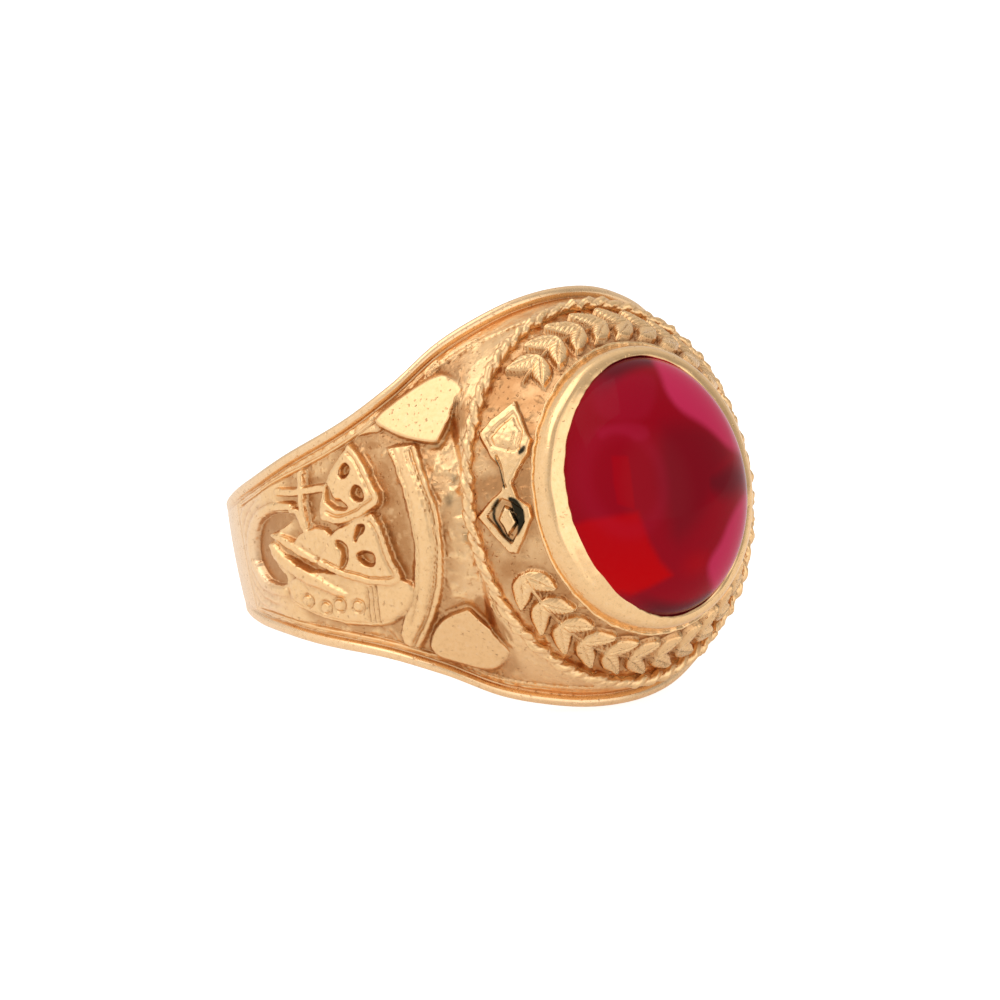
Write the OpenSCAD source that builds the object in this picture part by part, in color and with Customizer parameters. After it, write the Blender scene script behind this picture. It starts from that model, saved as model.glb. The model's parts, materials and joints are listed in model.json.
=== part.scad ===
// Class ring: one cast gold band and an oval cabochon, lying on its side.
// The ring is drawn with the finger along Y and the stone facing +Z, and is laid on its side at the end.
// Angles of the band are counted from the stone round to the back of the shank.

/* [Finger hole] */
// Radius of the finger hole
bore_r = 9.45; // [9.1:0.05:9.8]

/* [Shank] */
// Half width of the shank at its back
back_half = 2.76; // [2.4:0.02:3.2]
// Wall of the shank at its back
back_wall = 1.6; // [1.4:0.1:2]
// How far the middle of the shoulders stands above the back's wall where they meet the rope
shoulder_rise = 3.7; // [3.4:0.1:4]
// Width of the rolled rail along each edge
rail_w = 0.56; // [0.45:0.05:0.65]
// Depth of the sunk ground below the rails
ground_depth = 0.3; // [0.2:0.05:0.4]
// How far the side walls lean in towards the finger hole
side_lean = 0.35; // [0.2:0.05:0.5]

/* [Head] */
// Half width of the band beside the stone
head_half = 9.88; // [9.6:0.02:10.2]
// Height of the rope border above the finger hole
foot_rise = 2.87; // [2.6:0.01:3.1]
// Half length of the rope border along the finger
foot_y = 8.9; // [8.7:0.05:9]
// Half length of the rope border across the finger
foot_x = 8.1; // [7.9:0.05:8.3]
// Height of the sloped name band from the rope to the bezel
name_rise = 2.78; // [2.5:0.02:3]
// Radius of the twisted rope
rope_r = 0.24; // [0.2:0.02:0.28]
// Number of turns in the rope
rope_turns = 60; // [56:2:80]
// Height of the raised work on the name band
name_relief = 0.25; // [0.15:0.05:0.35]

/* [Bezel and stone] */
// Length of the stone along the finger
stone_l = 12; // [11.6:0.1:12.3]
// Width of the stone across the finger
stone_w = 10.1; // [9.7:0.1:10.4]
// Height of the dome above its widest line
dome_h = 3.6; // [3.3:0.1:4.6]
// Depth of the stone below its widest line
base_h = 1.6; // [1.2:0.1:1.8]
// Height of the bezel above the name band
bezel_h = 0.68; // [0.6:0.02:0.9]
// Width of the bezel at the ends of its short axis
bezel_w = 1; // [0.8:0.05:1.1]
// How far the bezel's lip reaches above the stone's widest line
lip_h = 0.6; // [0.4:0.05:0.8]
// Gap all round between the stone and its seat
seat_gap = 0.04; // [0.02:0.01:0.08]

/* [Shoulder work] */
// Height of the emblem above its ground
emblem_relief = 0.34; // [0.2:0.02:0.4]
// Height of the two fan plaques above the ground
plaque_relief = 0.42; // [0.3:0.02:0.5]
// Size of the emblem's drawing on the shoulder
emblem_size = 10; // [9:0.1:10.2]

/* [Hidden] */

// A row for each section of the band. Widths run from the back's half width to the head's. The rail's
// and the crown's heights above the back's wall are shares of shoulder_rise. BOW is the power of the
// curve from the crown down to the rail.
ANGLE = 0;
WIDTH = 1;
RAIL = 2;
CROWN = 3;
BOW = 4;
SECTIONS = [
    [0, 1, -0.013, 0.343, 1.2],
    [12, 0.972, -0.013, 0.418, 1.2],
    [24, 0.886, -0.01, 0.659, 1.3],
    [34, 0.776, 0.03, 1, 1.6],
    [46, 0.575, 0.105, 0.66, 1.9],
    [60, 0.4, 0.07, 0.33, 2],
    [78, 0.26, 0.015, 0.1, 2],
    [98, 0.12, 0, 0.03, 2],
    [126, 0, 0, 0.02, 2],
    [180, 0, 0, 0.02, 2],
];

// Outline of one edge, from the side wall over the rolled rail to the sunk ground.
// IN is a share of rail_w from the edge, DOWN is a share of ground_depth below the rail's top.
IN = 0;
DOWN = 1;
EDGE = [[0.1, 1.5], [0, 0.75], [0.2, 0.08], [0.72, 0.02], [1.08, 1.1], [1.45, 0.3], [1.75, 1]];

// Slope of the name band and the bezel: a share of the way up the slope and of name_relief into it.
UP = 0;
SINK = 1;
NAME_BAND = [[0, 0], [0.06, 1], [0.86, 1], [0.89, 0], [0.94, 0], [0.97, 0.8]];
// The bezel: shares of its width inwards and of its height upwards.
BEZEL = [[0, 0.05], [0.06, 0.45], [0.24, 0.8], [0.5, 0.97], [0.8, 1]];

// The dome and the base of the stone: share of its half width, and of dome_h or base_h.
stone_rows = 7;
STONE_BASE = [[0.84, -1], [0.9, -0.96], [0.985, -0.15]];

band_steps = 64;
oval_steps = 48;
rope_steps = 2;
rope_sides = 5;

// The worked ground ends where the plain part of the shank starts
panel_end = 97;
panel_fade = 8;
// Metal left inside the finger hole until it is cut
bore_stock = 0.3;
shell_r = bore_r - bore_stock;

foot_z = bore_r + foot_rise;
top_z = foot_z + name_rise;
bezel_x = stone_w / 2 + bezel_w;
// The bezel is narrower at the ends of its long axis
bezel_end_share = 0.63;
bezel_y = stone_l / 2 + bezel_end_share * bezel_w;
girdle_z = top_z + bezel_h - lip_h;
slope_run = foot_x - bezel_x;
slope_angle = atan2(name_rise, slope_run);

// A smooth curve through one column of SECTIONS, level at both ends
function table_slope(k, c) =
    k == 0 || k == len(SECTIONS) - 1 ? 0
    : (SECTIONS[k + 1][c] - SECTIONS[k - 1][c]) / (SECTIONS[k + 1][ANGLE] - SECTIONS[k - 1][ANGLE]);
function blend(t, a, b, da, db) =
    a * (1 + 2 * t) * (1 - t) ^ 2 + da * t * (1 - t) ^ 2 + b * t * t * (3 - 2 * t) + db * t * t * (t - 1);
function section(a, c) =
    let (
        k = max([for (i = [0:len(SECTIONS) - 2]) if (SECTIONS[i][ANGLE] <= a) i]),
        h = SECTIONS[k + 1][ANGLE] - SECTIONS[k][ANGLE]
    )
    blend((a - SECTIONS[k][ANGLE]) / h, SECTIONS[k][c], SECTIONS[k + 1][c],
        h * table_slope(k, c), h * table_slope(k + 1, c));
function from_stone(a) = a > 180 ? 360 - a : a;

function half_width(a) = back_half + (head_half - back_half) * section(from_stone(a), WIDTH);
function rail_r(a) = bore_r + back_wall + shoulder_rise * section(from_stone(a), RAIL);
function crown_r(a) = bore_r + back_wall + shoulder_rise * section(from_stone(a), CROWN);
function bow(a) = section(from_stone(a), BOW);
// Share of the width that lies inside the rope, where the head is flat
function flat_share(a) =
    let (b = min(from_stone(a), shoulder_face), x = foot_z * tan(b))
    x < foot_x ? foot_y * sqrt(1 - (x / foot_x) ^ 2) / (half_width(a) - rail_w) : 0;
// Radius of the worked surface at a distance across from the middle
function surface_r(a, y) =
    let (flat = flat_share(a), t = min(1, abs(y) / (half_width(a) - rail_w)))
    rail_r(a) + (crown_r(a) - rail_r(a)) * (t < flat ? 1 : 1 - ((t - flat) / (1 - flat)) ^ bow(a));
function worked(a) = min(1, max(0, (panel_end + panel_fade - from_stone(a)) / panel_fade));

// One edge and the ground beside it as [across, radius] pairs; the plain back has no groove
function edge_points(a) =
    let (w = half_width(a), r = rail_r(a))
    [for (e = EDGE)
        let (inside = e[IN] > 1, x = w - e[IN] * rail_w)
        [x, (inside ? surface_r(a, x) : r) - e[DOWN] * ground_depth * (inside ? worked(a) : 1)]];
function ground_point(a) =
    let (x = (half_width(a) - EDGE[len(EDGE) - 1][IN] * rail_w) / 2)
    [x, surface_r(a, x) - ground_depth * worked(a)];
function outline(a) =
    let (
        half = concat([[half_width(a) - side_lean, shell_r]], edge_points(a), [ground_point(a)]),
        n = len(half)
    )
    concat(half, [[0, crown_r(a) - ground_depth * worked(a)]],
        [for (i = [n - 1:-1:0]) [-half[i].x, half[i].y]]);
function around(a, p) = [p.y * sin(a), p.x, p.y * cos(a)];

// A closed skin over rows of points. A loop of rows has no ends, and a stack of rows is capped.
function skin(rows, loop) =
    let (n = len(rows[0]), m = len(rows), last = loop ? m - 1 : m - 2)
    concat(
        [for (i = [0:last], j = [0:n - 1])
            let (i1 = (i + 1) % m, j1 = (j + 1) % n)
            [i * n + j, i1 * n + j, i1 * n + j1]],
        [for (i = [0:last], j = [0:n - 1])
            let (i1 = (i + 1) % m, j1 = (j + 1) % n)
            [i * n + j, i1 * n + j1, i * n + j1]],
        loop ? [] : [[for (j = [0:n - 1]) j], [for (j = [n - 1:-1:0]) (m - 1) * n + j]]
    );
module skinned(rows, loop = false) {
    polyhedron([for (row = rows) each row], skin(rows, loop));
}

function band_rows() =
    [for (i = [0:band_steps - 1]) let (a = 360 * (i + 0.5) / band_steps) [for (p = outline(a)) around(a, p)]];
module shank() skinned(band_rows(), loop = true);

// The head and the raised work are rooted inside the band
root_in = 0.5;
root_down = 0.6;
// Ovals stacked up the head
function oval(x, y, z) =
    [for (i = [0:oval_steps - 1]) let (t = 360 * i / oval_steps) [x * cos(t), y * sin(t), z]];
function slope_x(k) = foot_x - slope_run * k;
function slope_y(k) = foot_y - (foot_y - bezel_y) * k;
function name_oval(k, sink) =
    oval(slope_x(k) - sink * sin(slope_angle), slope_y(k) - sink * sin(slope_angle),
        foot_z + name_rise * k - sink * cos(slope_angle));
function bezel_oval(inwards, up) =
    oval(bezel_x - inwards * bezel_w, bezel_y - inwards * (bezel_y - stone_l / 2), top_z + up * bezel_h);
function head_rows() = concat(
    [oval(foot_x - root_in, foot_y - root_in, shell_r - root_down)],
    [for (row = NAME_BAND) name_oval(row[UP], row[SINK] * name_relief)],
    [for (row = BEZEL) bezel_oval(row[0], row[1])]
);
module head() skinned(head_rows());

// The stone, and the same shape grown by the gap for its seat
function stone_oval(share, z, grow) = oval(share * stone_w / 2 + grow, share * stone_l / 2 + grow, z);
function girdle_share() = 1 / sqrt(1 - (lip_h / dome_h) ^ 2);
function stone_shape(grow, top) = concat(
    [for (row = STONE_BASE)
        stone_oval(row[0] * girdle_share(), girdle_z + row[1] * base_h - (row[1] == -1 ? grow : 0), grow)],
    [for (i = [0:stone_rows])
        let (a = top * i / stone_rows)
        stone_oval(girdle_share() * cos(a), girdle_z + dome_h * sin(a), grow)]
);
// Angle up the dome where the seat ends, past the lip, and where the stone is closed
seat_end = 60;
dome_end = 88;
module seat() skinned(stone_shape(seat_gap, seat_end));

// The twisted rope, a tube whose surface rises and falls along a slant by a share of its radius
rope_wave = 0.2;
function rope_at(u, v) =
    let (
        r = rope_r * (1 + rope_wave * cos(rope_turns * u - v)),
        out = (foot_x + foot_y) / 2,
        nx = cos(u) * foot_y / out,
        ny = sin(u) * foot_x / out
    )
    [foot_x * cos(u) + r * cos(v) * nx, foot_y * sin(u) + r * cos(v) * ny, foot_z + r * sin(v)];
module rope() {
    n = rope_turns * rope_steps;
    skinned([for (i = [0:n - 1]) [for (j = [0:rope_sides - 1]) rope_at(360 * i / n, -360 * j / rope_sides)]],
        loop = true);
}

// A flat drawing on the name band: angle round the oval, share up the slope
function on_slope(t, k) = [slope_x(k) * cos(t), slope_y(k) * sin(t)];
name_skin_low = 0.05;
name_skin_high = 0.95;
name_root = foot_z - root_down;
module name_skin(rise) {
    skinned([oval(foot_x - root_in, foot_y - root_in, name_root),
        name_oval(name_skin_low, name_relief - rise),
        name_oval(name_skin_high, name_relief - rise)]);
}
module raised_on_name(rise) {
    intersection() {
        name_skin(rise);
        translate([0, 0, name_root]) linear_extrude(2 * name_rise) children();
    }
}

// A laurel garland in two arcs, in pairs of leaves along a stem.
// Drawn in degrees round the oval and shares up the slope.
LAUREL_ARCS = [[29.3, 131.7], [200.4, 324.2]];
leaf_gap = 11.2;
leaf_long = 10.2;
leaf_reach = 0.28;
leaf_wide = 0.27;
leaf_lean = 0.3;
stem_at = 0.475;
stem_off = 0.04;
LEAF = [[0, 0], [0.3, 0.5], [0.7, 0.42], [1, 0], [0.7, -0.42], [0.3, -0.5]];
module leaf(t, side) {
    polygon([for (p = LEAF) on_slope(t + leaf_long * (p.x - leaf_lean * p.y * side),
        stem_at + side * (stem_off + leaf_reach * p.x) + p.y * leaf_wide)]);
}
module laurel(arc) {
    n = floor((arc[1] - arc[0]) / leaf_gap);
    for (i = [0:n - 1], side = [-1, 1]) leaf(arc[0] + i * leaf_gap, side);
}

// Two lozenges joined by a waisted bar at each end of the oval's short axis, drawn in the same way
LOZENGE_PAIRS = [165.7, 357.5];
lozenge_turn = 16;
lozenge_half = 10.5;
lozenge_reach = 0.33;
lozenge_at = 0.5;
lozenge_inner = 0.72;
lozenge_boss = 0.45;
lozenge_rise = 1.2;
WAIST = [[-8.3, 0.33], [-2.5, 0.46], [2.5, 0.5], [8.3, 0.33], [8.3, 0.67], [2.5, 0.62], [-2.5, 0.7], [-8.3, 0.67]];
module lozenge(t, share) {
    along = lozenge_half * share;
    up = lozenge_reach * share;
    polygon([on_slope(t - along, lozenge_at), on_slope(t, lozenge_at - up),
        on_slope(t + along, lozenge_at), on_slope(t, lozenge_at + up)]);
}
module lozenge_pair(t) {
    raised_on_name(name_relief) {
        for (s = [-1, 1]) difference() {
            lozenge(t + s * lozenge_turn, 1);
            lozenge(t + s * lozenge_turn, lozenge_inner);
        }
        polygon([for (p = WAIST) on_slope(t + p.x, p.y)]);
    }
    raised_on_name(name_relief * lozenge_rise) for (s = [-1, 1]) lozenge(t + s * lozenge_turn, lozenge_boss);
}

// Flat drawings on the shoulder, seen square on to it, and drawn at this size
shoulder_face = 60;
drawn_size = 10;
skin_from = 30;
skin_to = 104;
skin_steps = 8;
skin_across = 4;
skin_edge = 1.2;
skin_root = bore_r + bore_stock;
function skin_row(a, rise) =
    let (w = half_width(a) - skin_edge * rail_w)
    concat([[-w, skin_root]],
        [for (j = [0:skin_across])
            let (y = w * (2 * j / skin_across - 1))
            [y, surface_r(a, y) - ground_depth + rise]],
        [[w, skin_root]]);
module shoulder_skin(rise) {
    skinned([for (i = [0:skin_steps])
        let (a = skin_from + (skin_to - skin_from) * i / skin_steps)
        [for (p = skin_row(a, rise)) around(-a, p)]]);
}
module raised(rise) {
    intersection() {
        shoulder_skin(rise);
        rotate([0, -shoulder_face, 0]) translate([0, 0, bore_r / 2]) linear_extrude(2 * bore_r)
            scale(emblem_size / drawn_size) children();
    }
}

// Fan plaques beside the rails, and the banner between them
PLAQUE = [[2.1, 5.45], [3.7, 6.4], [5.1, 7], [5.85, 6.8], [6.6, 6.1], [5.9, 5], [5.3, 3.9], [4.3, 4.15],
    [3.1, 4.6]];
BANNER_LEFT = [[2.6, 4.05], [3.25, 2.8], [3.7, 1.35], [3.45, -0.7], [3.15, -2.05], [2.85, -2.8],
    [2.05, -3.6]];
BANNER_RIGHT = [[2.5, -5], [3.7, -3.85], [4.8, -1.75], [5.2, 0.4], [4.95, 2.55], [4.2, 3.9]];
module plaques() for (s = [0, 1]) mirror([0, s]) polygon(PLAQUE);
module banner() polygon(concat(BANNER_LEFT, BANNER_RIGHT));
groove_in = 0.42;
groove_w = 0.12;
module banner_groove() {
    polygon(concat([for (p = BANNER_RIGHT) p - [groove_in, 0]],
        [for (i = [len(BANNER_RIGHT) - 1:-1:0]) BANNER_RIGHT[i] - [groove_in + groove_w, 0]]));
}

// The emblem: two masks, a painter's palette with brushes, a disc and a curled frame
COMEDY = [[0.55, 4.5], [1.15, 3.95], [1.7, 2.55], [2.1, 1.95], [2, 1.6], [0.65, 1.05], [-0.65, 1],
    [-1.65, 1.6], [-0.9, 3.2]];
COMEDY_MOUTH = [[-0.8, 2.95], [-0.55, 2.15], [0.15, 1.75], [0.1, 1.55], [-0.4, 1.5], [-0.95, 1.85],
    [-1, 2.3]];
TRAGEDY = [[1.45, 1.5], [1.9, 0.25], [2.15, -1], [2.45, -2.05], [1, -2.15], [-1.25, -1.35], [-2.25, -0.7],
    [-1.65, 0.2], [-0.95, 0.65], [0.45, 1]];
TRAGEDY_MOUTH = [[-0.95, 0.2], [-0.35, 0.15], [-0.15, -0.4], [-0.5, -1], [-0.9, -1.1], [-0.65, -0.45]];
PALETTE = [[-4.25, -1.2], [-4.55, -1.7], [-4.3, -2.55], [-3.45, -3], [-1.7, -3.55], [0.45, -4], [1.8, -3.75],
    [2.65, -3.15], [2.85, -2.55], [2.4, -2.1], [-0.7, -2], [-2.4, -1.5]];
BRUSHES = [[[-4.95, 1], [-4.6, 0.85], [-2.1, -0.45], [-2.4, -0.7]],
    [[-5.3, 0.5], [-4.5, 0.25], [-0.75, -2.3], [-1.15, -2.4], [-4.6, -0.3]]];
CURL = [[-4.35, 2.35], [-5.75, 1.75], [-6.6, 0.75], [-6.75, -0.3], [-6.3, -1.25], [-4.9, -1.5],
    [-4.55, -1.15], [-5.3, -0.95], [-5.8, -0.3], [-5.85, 0.7], [-5.2, 1.7], [-3.9, 1.95]];
DISC = [-2.35, 0.05];
disc_r = 1;
MASK_EYES = [[0.25, 3.35], [0.85, 2.15], [0.65, 0.4], [0.75, -0.85]];
eye_r = 0.33;
PAINT_DOTS = [[-3.55, -2.45], [-2.15, -2.9], [-0.4, -3.2]];
dot_r = 0.26;
CROSS = [[[-2.6, 3.55], [-2.95, 1.4]], [[-4.1, 2.75], [-1.2, 2.65]]];
cross_w = 0.16;
module bar(a, b, w) {
    d = b - a;
    translate(a) rotate(atan2(d.y, d.x)) translate([0, -w / 2]) square([norm(d), w]);
}
module at_each(points) for (p = points) translate(p) children();
module masks() {
    difference() {
        union() {
            polygon(COMEDY);
            polygon(TRAGEDY);
        }
        polygon(COMEDY_MOUTH);
        polygon(TRAGEDY_MOUTH);
        at_each(MASK_EYES) circle(eye_r, $fn = 7);
    }
}
module tools_of_art() {
    polygon(CURL);
    for (b = BRUSHES) polygon(b);
    translate(DISC) circle(disc_r, $fn = 14);
    for (c = CROSS) bar(c[0], c[1], cross_w);
}
module palette() {
    difference() {
        polygon(PALETTE);
        at_each(PAINT_DOTS) circle(dot_r, $fn = 7);
    }
}

// The brushes, disc and curl stand lower than the masks and the banner, and the palette is the lowest
tools_share = 0.75;
palette_share = 0.5;
module shoulder() {
    raised(plaque_relief) plaques();
    raised(emblem_relief) {
        masks();
        difference() {
            banner();
            banner_groove();
        }
    }
    raised(emblem_relief * tools_share) tools_of_art();
    raised(emblem_relief * palette_share) palette();
}

module casting() {
    difference() {
        union() {
            shank();
            head();
            rope();
            for (arc = LAUREL_ARCS) raised_on_name(name_relief) laurel(arc);
            for (t = LOZENGE_PAIRS) lozenge_pair(t);
            for (turn = [0, 180]) rotate(turn) shoulder();
        }
        seat();
    }
}

// The ring rests on the rails beside the stone and at its back
rest_in = EDGE[1][DOWN] * ground_depth;
rest_tilt = atan2(head_half - back_half, rail_r(0) + rail_r(180) - 2 * rest_in);
function resting(p) =
    [p.x, p.y * sin(rest_tilt) - p.z * cos(rest_tilt), p.y * cos(rest_tilt) + p.z * sin(rest_tilt)];
laid = [for (row = band_rows(), p = row) resting(p)];
laid_stone = [for (row = stone_shape(0, 90), p = row) resting(p)];
floor_z = min([for (p = laid) p.z]);
middle_y = (max([for (p = laid) p.y]) + min([for (p = laid_stone) p.y])) / 2;
module on_its_side() {
    translate([0, -middle_y, -floor_z]) rotate([90 - rest_tilt, 0, 0]) children();
}

bore_steps = 96;
module band() {
    color("goldenrod") on_its_side() difference() {
        resize([0, 2 * head_half, 0]) casting();
        rotate([90, 0, 0]) cylinder(r = bore_r, h = 3 * head_half, center = true, $fn = bore_steps);
    }
}

module stone() {
    color("crimson") on_its_side() skinned(stone_shape(0, dome_end));
}

band();
stone();
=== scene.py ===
"""A cast gold class ring with a red cabochon, lying on its side.

Every piece is drawn in millimetres with the finger along Y and the stone facing up, and is laid on its side
as its mesh is made. Angles of the band are counted in degrees from the stone round to the back of the shank.
"""

import json
import math

import bmesh
import bpy
import numpy as np
from bpy.props import FloatProperty, FloatVectorProperty, IntProperty, PointerProperty
from mathutils import Matrix, Vector


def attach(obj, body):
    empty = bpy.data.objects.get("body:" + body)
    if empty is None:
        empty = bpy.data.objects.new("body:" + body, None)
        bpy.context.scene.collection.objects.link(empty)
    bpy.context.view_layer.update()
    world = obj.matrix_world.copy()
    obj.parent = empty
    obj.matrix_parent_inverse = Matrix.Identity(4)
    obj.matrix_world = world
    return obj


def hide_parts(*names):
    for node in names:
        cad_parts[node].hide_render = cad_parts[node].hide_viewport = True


bl_info = {
    "name": "Class Ring",
    "version": (1, 0, 0),
    "blender": (4, 5, 0),
    "location": "View3D > Sidebar > Class Ring",
    "description": "Builds a cast gold class ring with a cabochon, and the table that it lies on",
    "category": "Add Mesh",
}

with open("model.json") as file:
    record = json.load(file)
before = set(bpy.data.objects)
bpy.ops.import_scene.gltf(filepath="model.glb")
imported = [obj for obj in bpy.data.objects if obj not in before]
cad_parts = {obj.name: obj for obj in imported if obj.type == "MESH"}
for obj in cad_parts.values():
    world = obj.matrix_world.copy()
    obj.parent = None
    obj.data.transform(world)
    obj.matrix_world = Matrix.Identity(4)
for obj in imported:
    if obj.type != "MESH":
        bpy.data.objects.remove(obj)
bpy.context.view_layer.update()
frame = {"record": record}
HOLE = frame["record"]["mounts"][0]
HOLE_PLACE = np.array(HOLE["pos_m"])
HOLE_AXIS = np.array(HOLE["axis"])
TILT = math.atan2(HOLE_AXIS[1], HOLE_AXIS[2])
MM = 0.001


# Values that a user changes
def length(name, description, size):
    """A size that is given here in millimetres."""
    return FloatProperty(name=name, description=description, default=size * MM, unit="LENGTH",
                         subtype="DISTANCE")


def swatch(name, description, default):
    return FloatVectorProperty(name=name, description=description, default=default, subtype="COLOR",
                               min=0, max=1)


class RingSizes(bpy.types.PropertyGroup):
    """Sizes of the ring"""
    bore_radius: length("Finger hole", "Radius of the finger hole", 9.45)
    back_half: length("Back half width", "Half width of the shank at its back", 2.76)
    back_wall: length("Back wall", "Wall of the shank at its back", 1.6)
    shoulder_rise: length("Shoulder rise", "How far the shoulders stand above the wall", 3.7)
    rail_width: length("Rail width", "Width of the rolled rail along each edge", 0.56)
    ground_depth: length("Ground depth", "Depth of the sunk ground below the rails", 0.3)
    side_lean: length("Side lean", "How far the side walls lean in towards the hole", 0.35)
    head_half: length("Head half width", "Half width of the band beside the stone", 9.88)
    foot_rise: length("Rope height", "Height of the rope border above the finger hole", 2.87)
    foot_long: length("Rope half length", "Half length of the rope border along the finger", 8.9)
    foot_wide: length("Rope half width", "Half width of the rope border across the finger", 8.1)
    name_rise: length("Name band rise", "Height of the sloped band from rope to bezel", 2.78)
    rope_radius: length("Rope radius", "Radius of the twisted rope", 0.24)
    rope_lobes: IntProperty(name="Rope lobes", description="Number of lobes along the rope", default=60)
    stone_long: length("Stone length", "Length of the stone along the finger", 12)
    stone_wide: length("Stone width", "Width of the stone across the finger", 10.1)
    dome_height: length("Dome height", "Height of the dome above its widest line", 3.6)
    stone_base: length("Stone base", "Depth of the stone below its widest line", 1.6)
    bezel_height: length("Bezel height", "Height of the bezel above the name band", 0.68)
    bezel_width: length("Bezel width", "Width of the bezel at its sides", 1)
    lip_height: length("Bezel lip", "How far the bezel's lip covers the stone", 0.6)


class RingFinish(bpy.types.PropertyGroup):
    """Colours of the gold, the stone and the table, and of the painted shade, painted light and painted
    reflections on them
    """
    polished: swatch("Polished gold", "Colour of the polished gold", (0.95, 0.61, 0.3))
    cast: swatch("Cast gold", "Colour of the matt cast ground", (0.9, 0.59, 0.325))
    rubbed: swatch("Rubbed gold", "Colour of the pale rubbed shank", (0.95, 0.66, 0.4))
    # Colour of the painted shade in the recesses, with some patina; also of the dark mottle and pits
    shaded_hollow: swatch("Hollow gold", "Colour in the deep recesses", (0.53, 0.26, 0.105))
    pale: swatch("Pale gold", "Colour of the palest grains", (0.98, 0.74, 0.5))
    # Colour of the black stains, and of the painted dark reflections in the lozenges
    blackened: swatch("Blackened gold", "Colour of the blackened spots", (0.03, 0.025, 0.015))
    stone_body: swatch("Stone", "Body colour of the stone", (0.29, 0.002, 0.01))
    # Painted light in the stone
    stone_glow: swatch("Stone glow", "Colour where light gathers in the stone", (0.5, 0.0, 0.002))
    # Painted reflection at the stone's far limb
    stone_rim_reflection: swatch("Stone rim", "Colour at the far limb of the stone", (0.6, 0.028, 0.1))
    # Painted shade and painted dark reflections in the stone
    stone_shade_and_dark_reflection: swatch("Stone shade", "Colour of the dark places in the stone", (0.13, 0.006, 0.012))
    table: swatch("Table", "Colour of the table", (0.6, 0.6, 0.6))


def mm(name):
    """A size of the ring in millimetres."""
    return getattr(bpy.context.scene.ring_sizes, name) / MM


def colour(name):
    return (*getattr(bpy.context.scene.ring_finish, name), 1.0)


# Curves and noise
# Keeps a division by nothing apart, and stands for a distance that anything is nearer than
TINY = 1e-12
FAR = 1e9


def ease(t):
    return t * t * (3 - 2 * t)


def smooth(a, b, x):
    """Eases from 0 at a to 1 at b."""
    return ease(np.clip((x - a) / (b - a), 0, 1))


def bulge(x, width):
    """A half round: 1 in its middle and 0 from its width outwards."""
    return np.sqrt(np.clip(1 - (x / width) ** 2, 0, 1))


def lumps(x, y, size, seed):
    """Smooth seeded noise from -1 to 1 over a plane."""
    n = 128
    table = np.random.default_rng(seed).uniform(-1, 1, (n, n))
    x, y = x / size, y / size
    i, j = np.floor(x).astype(int), np.floor(y).astype(int)
    s, t = ease(x - i), ease(y - j)
    near = table[i % n, j % n] * (1 - s) + table[(i + 1) % n, j % n] * s
    far = table[i % n, (j + 1) % n] * (1 - s) + table[(i + 1) % n, (j + 1) % n] * s
    return near * (1 - t) + far * t


def layered(x, y, *layers):
    """Noise in layers, each given by its height, the size of its lumps and its seed."""
    return sum(height * lumps(x, y, size, seed) for height, size, seed in layers)


# The band's sections
# Angle from the stone, then shares: width from the back's to the head's, the rail's and the crown's height of
# the shoulder rise, and the power of the curve from the crown down to the rail.
SECTIONS = np.array([
    [0, 1, -0.013, 0.343, 1.2], [12, 0.972, -0.013, 0.418, 1.2], [24, 0.886, -0.01, 0.659, 1.3],
    [34, 0.776, 0.03, 1, 1.6], [46, 0.575, 0.105, 0.66, 1.9], [60, 0.4, 0.07, 0.33, 2],
    [78, 0.26, 0.015, 0.1, 2], [98, 0.12, 0, 0.03, 2], [126, 0, 0, 0.02, 2], [180, 0, 0, 0.02, 2],
])
WIDTH, RAIL, CROWN, CURVE = 1, 2, 3, 4
# The shoulder's drawing is seen square on from this angle, and its worked ground ends at the second one
SHOULDER_FACE = 60
SHOULDER_END = 105


def from_stone(angle):
    """Degrees away from the stone, to either side."""
    return np.abs((np.asarray(angle, float) + 180) % 360 - 180)


def section(angle, column):
    """A smooth curve through one column of SECTIONS."""
    away = from_stone(angle)
    stops, values = SECTIONS[:, 0], SECTIONS[:, column]
    k = np.clip(np.searchsorted(stops, away, side="right") - 1, 0, len(stops) - 2)
    slope = np.zeros(len(stops))
    slope[1:-1] = (values[2:] - values[:-2]) / (stops[2:] - stops[:-2])
    step = stops[k + 1] - stops[k]
    t = (away - stops[k]) / step
    return (values[k] * (1 + 2 * t) * (1 - t) ** 2 + step * slope[k] * t * (1 - t) ** 2
            + values[k + 1] * t * t * (3 - 2 * t) + step * slope[k + 1] * t * t * (t - 1))


def half_width(angle):
    return mm("back_half") + (mm("head_half") - mm("back_half")) * section(angle, WIDTH)


def rail_top(angle):
    return mm("bore_radius") + mm("back_wall") + mm("shoulder_rise") * section(angle, RAIL)


def crown_top(angle):
    return mm("bore_radius") + mm("back_wall") + mm("shoulder_rise") * section(angle, CROWN)


def rope_level():
    return mm("bore_radius") + mm("foot_rise")


def name_band_top():
    return rope_level() + mm("name_rise")


def across_head(angle):
    """How far to the side a line out of the hole's middle reaches the level of the rope."""
    return rope_level() * np.tan(np.radians(np.minimum(angle, SHOULDER_FACE)))


def worked_top(angle, y):
    """Radius of the band's outer skin before anything is sunk into it or raised on it."""
    away = from_stone(angle)
    reach = half_width(away) - mm("rail_width")
    across = across_head(away)
    flat = np.where(across < mm("foot_wide"), mm("foot_long") * bulge(across, mm("foot_wide")) / reach, 0)
    t = np.minimum(1, np.abs(y) / reach)
    share = np.clip((t - flat) / (1 - np.minimum(flat, 0.999)), 0, 1)
    fall = np.where(t < flat, 0, share ** section(away, CURVE))
    return rail_top(away) + (crown_top(away) - rail_top(away)) * (1 - fall)


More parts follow.
